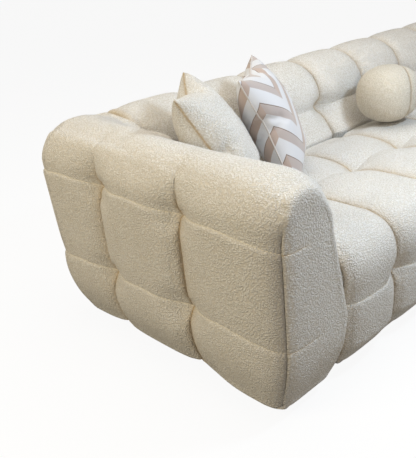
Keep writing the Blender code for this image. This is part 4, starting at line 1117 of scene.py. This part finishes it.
def build_pillow(name, node, size, spans, turn, lean, shift, material):
    """Sew, stuff and place a pillow, and return the path of its sewn edge."""
    pillow = sewn_sheets(name, size)
    set_mark(pillow.data, "flat", points_of(pillow.data))
    inflate(pillow)
    shape = points_of(pillow.data)
    shape -= (shape.max(0) + shape.min(0)) / 2
    shape *= np.array(spans) / (shape.max(0) - shape.min(0))
    set_points(pillow.data, shape)
    ironing = pillow.modifiers.new("ironing", 'SMOOTH')
    ironing.iterations = IRONING_TURNS
    rounding = pillow.modifiers.new("rounding", 'SUBSURF')
    rounding.levels = rounding.render_levels = 1
    keep_shape(pillow)
    mesh = pillow.data
    flat = rows_of(mesh.attributes["flat"].data)
    edge = size / 2 - np.abs(flat[:, :2]).max(1)
    set_mark(mesh, "seam", SEAM_SHADE * np.exp(-edge / SEAM_WIDTH))
    cloth_map = mesh.uv_layers.new(name="cloth")
    across = np.where(points_of(mesh)[:, 2] >= 0, flat[:, 0], -size - flat[:, 0])
    places = np.column_stack((across, flat[:, 1]))
    loops = np.zeros(len(mesh.loops), np.int32)
    mesh.loops.foreach_get("vertex_index", loops)
    cloth_map.data.foreach_set("uv", places[loops].ravel())
    mesh.attributes.remove(mesh.attributes["flat"])
    low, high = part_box(node)
    stand = Matrix.Rotation(math.radians(turn), 4, 'Z') @ Matrix.Rotation(math.radians(90 - lean), 4, 'X')
    mesh.transform(Matrix.Translation((low + high) / 2 + Vector(shift)) @ stand)
    dress(pillow, material)
    rim = np.flatnonzero(edge < NEAR)
    rim = rim[np.argsort(np.arctan2(flat[rim, 1], flat[rim, 0]))]
    return points_of(mesh)[rim]


build_pillow("cream_pillow_cover", "cream_pillow", size=0.460, spans=(0.385, 0.440, 0.185), turn=42.3,
             lean=30, shift=(-0.013, 0.019, -0.003), material=cream_boucle)
chevron_rim = build_pillow("chevron_pillow_cover", "chevron_pillow", size=0.430,
                           spans=(0.429, 0.427, 0.160), turn=35.6, lean=25,
                           shift=(-0.010, 0.009, -0.004), material=chevron_cotton)

# %% [markdown]
# ## Piping
# The chevron pillow is piped: a cord in a cotton sleeve is sewn into its edge. A small circle swept along
# the path of that edge makes the cord, so it follows every ripple of the blown-up cloth.

# %% Piping
def piping_tree():
    """A round cord along a closed path."""
    tree, given = new_tree("piping", ("Radius",))
    curve = add_node(tree, "GeometryNodeMeshToCurve", {"Mesh": given["Path"]})
    ring = add_node(tree, "GeometryNodeCurvePrimitiveCircle", {"Resolution": 8, "Radius": given["Radius"]})
    cord = add_node(tree, "GeometryNodeCurveToMesh", {"Curve": curve, "Profile Curve": ring})
    return end_tree(tree, cord, given["Material"])


PIPING_RADIUS = 0.0024
# a cotton sleeve: matt, with a faint fleck along the cord
pale_piping = two_tone("pale_cotton_piping", TWIST, "#b7aea7", "#d3ccc6", 0.6)
grow("chevron_pillow_piping", [chevron_rim], piping_tree(), closed=True, Radius=PIPING_RADIUS,
     Material=pale_piping)

# %% [markdown]
# ## Ball pillow
# The ball has a round panel sewn in at one end, so one round seam shows on its side, with painted shade
# along its groove. Its shape is a cube's grid of points pulled out onto a sphere that is a little squarer
# than round, as a stuffed ball that lies on a seat is. Its colours are set somewhat darker and warmer than
# the sofa's.

# %% Ball pillow
BALL_FULLNESS = 2.3  # 2 is round, more is squarer
BALL_CUTS = 12
BALL_SEAM, BALL_TURN = 0.48, math.radians(-36)  # the round seam's place on the ball
GROOVE, GROOVE_REACH = 0.05, 0.006
BALL_STRETCH = 1.14  # the end panel's side reaches further out


def build_ball(name, node):
    low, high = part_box(node)
    cuts = np.tan(np.linspace(-math.pi / 4, math.pi / 4, BALL_CUTS + 1))
    points, quads = block_surface((cuts, cuts, cuts))
    shape = np.array(points)
    shape /= (np.abs(shape) ** BALL_FULLNESS).sum(1)[:, None] ** (1 / BALL_FULLNESS)
    ball = new_object(name, shape.tolist(), face_out(shape, quads))
    rounding = ball.modifiers.new("rounding", 'SUBSURF')
    rounding.levels = rounding.render_levels = 2
    keep_shape(ball)
    mesh = ball.data
    unit = points_of(mesh)
    unit *= 2 / (unit.max(0) - unit.min(0))
    unit[:, 0] *= np.where(unit[:, 0] > 0, BALL_STRETCH, 1.0)
    sideways = unit[:, 0] * math.cos(BALL_TURN) + unit[:, 1] * math.sin(BALL_TURN)
    away = np.abs(sideways - BALL_SEAM) * (high.x - low.x) / 2
    drawn_in = 1 - GROOVE * np.exp(-away / GROOVE_REACH)
    set_points(mesh, unit * drawn_in[:, None] * np.array(high - low) / 2 + np.array(low + high) / 2)
    # painted shade along the seam's groove
    set_mark(mesh, "seam", np.exp(-away / SEAM_WIDTH))
    dress(ball, ball_boucle)


ball_boucle = make_boucle("ball_wool_boucle", tip="#f0eadf", shaded_gap="#c9bfac", seam="#a4865a", thread="#e6dcc8")
build_ball("ball_pillow_cover", "ball_pillow")

# %% [markdown]
# ## Boards, webbing, feet and fittings
# Under the covers the sofa is a plain bench of pine boards with elastic webbing, black dust cloth below,
# moulded feet and zinc-plated bolts and hooks. These keep their CAD shape and only get a finish. The
# record says which slot each piece takes, so one loop dresses them all.

# %% Finishes under the covers
WAVE_TURN = 0.314  # a Wave texture repeats every 0.314 of its own units
RING_MM, TAPE_MM = 7, 6
FLEECE_MM, GRIT_MM, SPANGLE_MM = 3, 1.5, 9  # fleece and grit are drawn coarse, so that they show
YEAR_RINGS = [(WAVE, {"Scale": WAVE_TURN * per_metre(RING_MM), "Distortion": 5.0, "Detail": 2.0},
               {"wave_type": 'RINGS'})]  # late wood shows as darker lines along the board
TAPE_WEAVE = [(WAVE, {"Scale": WAVE_TURN * per_metre(TAPE_MM)}, {"bands_direction": direction})
              for direction in ('X', 'Y')]  # two crossing sets of threads
FLEECE, GRIT, SPANGLE = [[(NOISE, {"Scale": per_metre(size), "Detail": 3.0}, {})]
                         for size in (FLEECE_MM, GRIT_MM, SPANGLE_MM)]
FINISHES = {
    # sawn boards: matt, with darker lines of late wood
    "pine_board": two_tone("sawn_pine", YEAR_RINGS, "#b98d56", "#e3c592", 0.65, 0.0004),
    # woven elastic tape: dull, with a small check of crossing threads
    "seat_webbing": two_tone("elastic_webbing", TAPE_WEAVE, "#332a22", "#6d5d4c", 0.9, 0.0006),
    # bonded fleece: black, with a faint fleck and no shine
    "dust_cloth": two_tone("black_nonwoven_cloth", FLEECE, "#0e0e10", "#2b2b2e", 0.95, 0.0003),
    # plastic from a gritty mould: black, with a soft broken gleam
    "foot_plastic": two_tone("moulded_black_plastic", GRIT, "#121213", "#232325", 0.45, 0.0001),
    # plated steel: a grey metal gleam with paler spangles
    "zinc_steel": two_tone("zinc_plated_steel", SPANGLE, "#aab0b5", "#d3d7da", 0.35, 0.0001, metallic=1.0),
}
dressed = 0
for row in frame["record"]["subparts"]:
    if row["material_slot"] in FINISHES:
        thing = frame["nodes"][row["node"]]
        thing.data.materials.clear()
        thing.data.materials.append(FINISHES[row["material_slot"]])
        dressed += 1
print(dressed, "nodes dressed in", len(FINISHES), "finishes")

# %% [markdown]
# ## Staples under the base
# The dust cloth is stapled to the rails every six centimetres. The tree that laid the stitches lays them
# too: a line under each rail is the path, and a bead of steel wire is the staple's crown.

# %% Staples
STAPLE_PITCH, STAPLE_LENGTH, STAPLE_RADIUS = 0.060, 0.012, 0.0007


def rail_path(rail, cloth):
    """A line under the middle of a rail, on the face of the dust cloth."""
    low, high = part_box(rail)
    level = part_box(cloth)[0].z
    middle = (low + high) / 2
    if high.x - low.x > high.y - low.y:
        return [(low.x + STAPLE_PITCH, middle.y, level), (high.x - STAPLE_PITCH, middle.y, level)]
    return [(middle.x, low.y + STAPLE_PITCH, level), (middle.x, high.y - STAPLE_PITCH, level)]


STAPLES = dict(Pitch=STAPLE_PITCH, Length=STAPLE_LENGTH, Radius=STAPLE_RADIUS,
               Material=FINISHES["zinc_steel"])
RAILS = {"sofa": ("front_rail", "rear_rail", "arm_rail", "joint_rail"),
         "chaise": ("front_rail", "rear_rail", "arm_rail", "side_rail_left", "side_rail_right")}
for section, rails in RAILS.items():
    paths = [rail_path(f"{section}_{rail}", f"{section}_dust_cover") for rail in rails]
    grow(f"{section}_staples", paths, bead_run, **STAPLES)

# %% [markdown]
# ## Riding on the frame
# Every piece is tied to the body it moves with. A cover stands in for the plain solid of its pad, which
# stays behind for the physics. Stitches, piping and staples ride along with the cloth that they hold.

# %% Hang the covers on the frame
COVERS = [(f"{section}_{pad}_cover", f"{section}_section", f"{section}_{pad}_pad", "cream_boucle")
          for section in SECTIONS for pad in PADS]
COVERS += [(f"{pillow}_pillow_cover", f"{pillow}_pillow_body", f"{pillow}_pillow", finish) for pillow, finish
           in (("cream", "cream_boucle"), ("chevron", "chevron_cotton"), ("ball", "cream_boucle"))]
for name, body, node, finish in COVERS:
    cover = bpy.data.objects[name]
    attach(cover, body)
    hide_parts(node)
    print(name, "rides on", body)
TRIM = [(f"{section}_{kind}", f"{section}_section", finish) for section in SECTIONS
        for kind, finish in (("row_stitches", "cream_boucle"), ("staples", "zinc_steel"))]
TRIM.append(("chevron_pillow_piping", "chevron_pillow_body", "chevron_cotton"))
for name, body, finish in TRIM:
    trim = bpy.data.objects[name]
    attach(trim, body)
    print(name, "rides on", body)

# %% [markdown]
# ## Floor
# A photographer's paper sweep is white all round and still takes a shadow. This floor answers the rays
# that the eye sees mostly with plain white light, and all others as a grey surface that throws little
# light back, so the background is white without more light on the sofa. From below it is clear, so that
# the underside can be looked at.

# %% Floor
REACH = 40.0
WHITE = linear("#ffffff")
WHITE_SHARE = 0.92  # the rest is paint, which shows the shadow


def seen_rays(tree, *kinds):
    """1 for the kinds of rays that show the stage itself, 0 for those that light the sofa."""
    rays = add_node(tree, "ShaderNodeLightPath").outputs
    seen = 0.0
    for kind in kinds:
        seen = add_node(tree, "ShaderNodeMath", {0: seen, 1: rays[f"Is {kind} Ray"]}, operation='ADD',
                        use_clamp=True)
    return seen


corners = [(-REACH, -REACH, 0), (REACH, -REACH, 0), (REACH, REACH, 0), (-REACH, REACH, 0)]
floor = new_object("floor", corners, [(0, 1, 2, 3)])
floor_paint, tree, place = new_material("white_floor")
matt = add_node(tree, "ShaderNodeBsdfDiffuse", {"Color": linear("#7d7972")})
paint = add_node(tree, "ShaderNodeBsdfDiffuse", {"Color": linear("#f5f5f5")})
white = add_node(tree, "ShaderNodeEmission", {"Color": WHITE, "Strength": 1.0})
shown = add_node(tree, "ShaderNodeMixShader", {"Fac": WHITE_SHARE, 1: paint, 2: white})
seen = seen_rays(tree, "Camera", "Glossy")
upper = add_node(tree, "ShaderNodeMixShader", {"Fac": seen, 1: matt, 2: shown})
below = add_node(tree, "ShaderNodeNewGeometry").outputs["Backfacing"]
clear = add_node(tree, "ShaderNodeBsdfTransparent")
sheet = add_node(tree, "ShaderNodeMixShader", {"Fac": below, 1: upper, 2: clear})
add_node(tree, "ShaderNodeOutputMaterial", {"Surface": sheet})
floor.data.materials.append(floor_paint)
print("floor", 2 * REACH, "m wide")

# %% [markdown]
# ## Sky
# A studio's walls and ceiling send a dim even light from all sides, which keeps the shaded sides of the
# sofa from going black. The sky gives that light, and shows as plain white wherever the eye meets it.

# %% Sky
SKY_STRENGTH = 0.20
world = bpy.data.worlds.new("studio")
bpy.context.scene.world = world
world.use_nodes = True
tree = world.node_tree
tree.nodes.clear()
dim = add_node(tree, "ShaderNodeBackground", {"Color": WHITE, "Strength": SKY_STRENGTH})
bright = add_node(tree, "ShaderNodeBackground", {"Color": WHITE, "Strength": 1.0})
seen = seen_rays(tree, "Camera", "Glossy", "Transmission")
sky = add_node(tree, "ShaderNodeMixShader", {"Fac": seen, 1: dim, 2: bright})
add_node(tree, "ShaderNodeOutputWorld", {"Surface": sky})
print("sky lights the sofa at", SKY_STRENGTH)

# %% [markdown]
# ## Lamps
# The photograph's light is soft and comes from above, cool on the front edges and warm on the left. A big
# soft box hangs over the sofa, a small cool lamp over the front edge draws the pillows' shadows on the
# back, a warm fill stands on the left and a weak one in front.

# %% Lamps
def add_lamp(name, place, target, size, watts, colour):
    """An oval area lamp that shines at a target."""
    light = bpy.data.lights.new(name, 'AREA')
    light.shape, light.energy, light.color = 'ELLIPSE', watts, colour
    light.size, light.size_y = size
    lamp = bpy.data.objects.new(name, light)
    lamp.location = place
    lamp.rotation_euler = (Vector(target) - Vector(place)).to_track_quat('-Z', 'Y').to_euler()
    bpy.context.scene.collection.objects.link(lamp)
    print(name, "of", watts, "W")


COOL, WARM, SOFT, SAND = (0.66, 0.82, 1.0), (1.0, 0.87, 0.62), (1.0, 0.94, 0.85), (1.0, 0.90, 0.78)
add_lamp("top_softbox", place=(-0.94, 0.23, 3.4), target=(-0.94, 0.23, 0.0), size=(3.0, 3.0), watts=53,
         colour=SOFT)
add_lamp("front_key", place=(-0.89, -0.775, 1.75), target=(-0.90, 0.50, 0.55), size=(0.5, 0.15), watts=18.5,
         colour=COOL)
add_lamp("front_fill", place=(-1.3, -4.2, 1.6), target=(-1.0, 0.0, 0.4), size=(2.0, 2.0), watts=42,
         colour=SAND)
add_lamp("left_fill", place=(-4.6, 0.7, 2.2), target=(-1.7, 0.3, 0.4), size=(2.0, 2.0), watts=72, colour=WARM)

# %% [markdown]
# ## Camera
# A pinhole camera was fitted to the seam crossings in the photograph, which gave its place, its three
# turns and a focal length in pixels. Blender wants that length in millimetres, so it is scaled by the
# sensor, which spans the longer side of the picture.

# %% Camera at the photograph's angle
YAW, PITCH, ROLL = math.radians(43.84), math.radians(24.58), math.radians(-3.76)
CAMERA_PLACE = Vector((-1.077, -0.894, 1.262))  # from the sofa's corner
FOCAL_PIXELS, FRAME_HEIGHT, SENSOR = 675.8, 458, 36.0
lens = bpy.data.cameras.new("camera")
lens.sensor_width = SENSOR
lens.lens = FOCAL_PIXELS * SENSOR / FRAME_HEIGHT
camera = bpy.data.objects.new("camera", lens)
tilt = Matrix.Rotation(math.pi / 2 - PITCH, 4, 'X') @ Matrix.Rotation(ROLL, 4, 'Z')
turn = Matrix.Rotation(-YAW, 4, 'Z') @ tilt
camera.matrix_world = Matrix.Translation(CAMERA_PLACE + CORNER) @ turn
bpy.context.scene.collection.objects.link(camera)
bpy.context.scene.camera = camera
bpy.context.scene.view_settings.view_transform = 'Standard'
print("camera lens", round(lens.lens, 2), "mm")
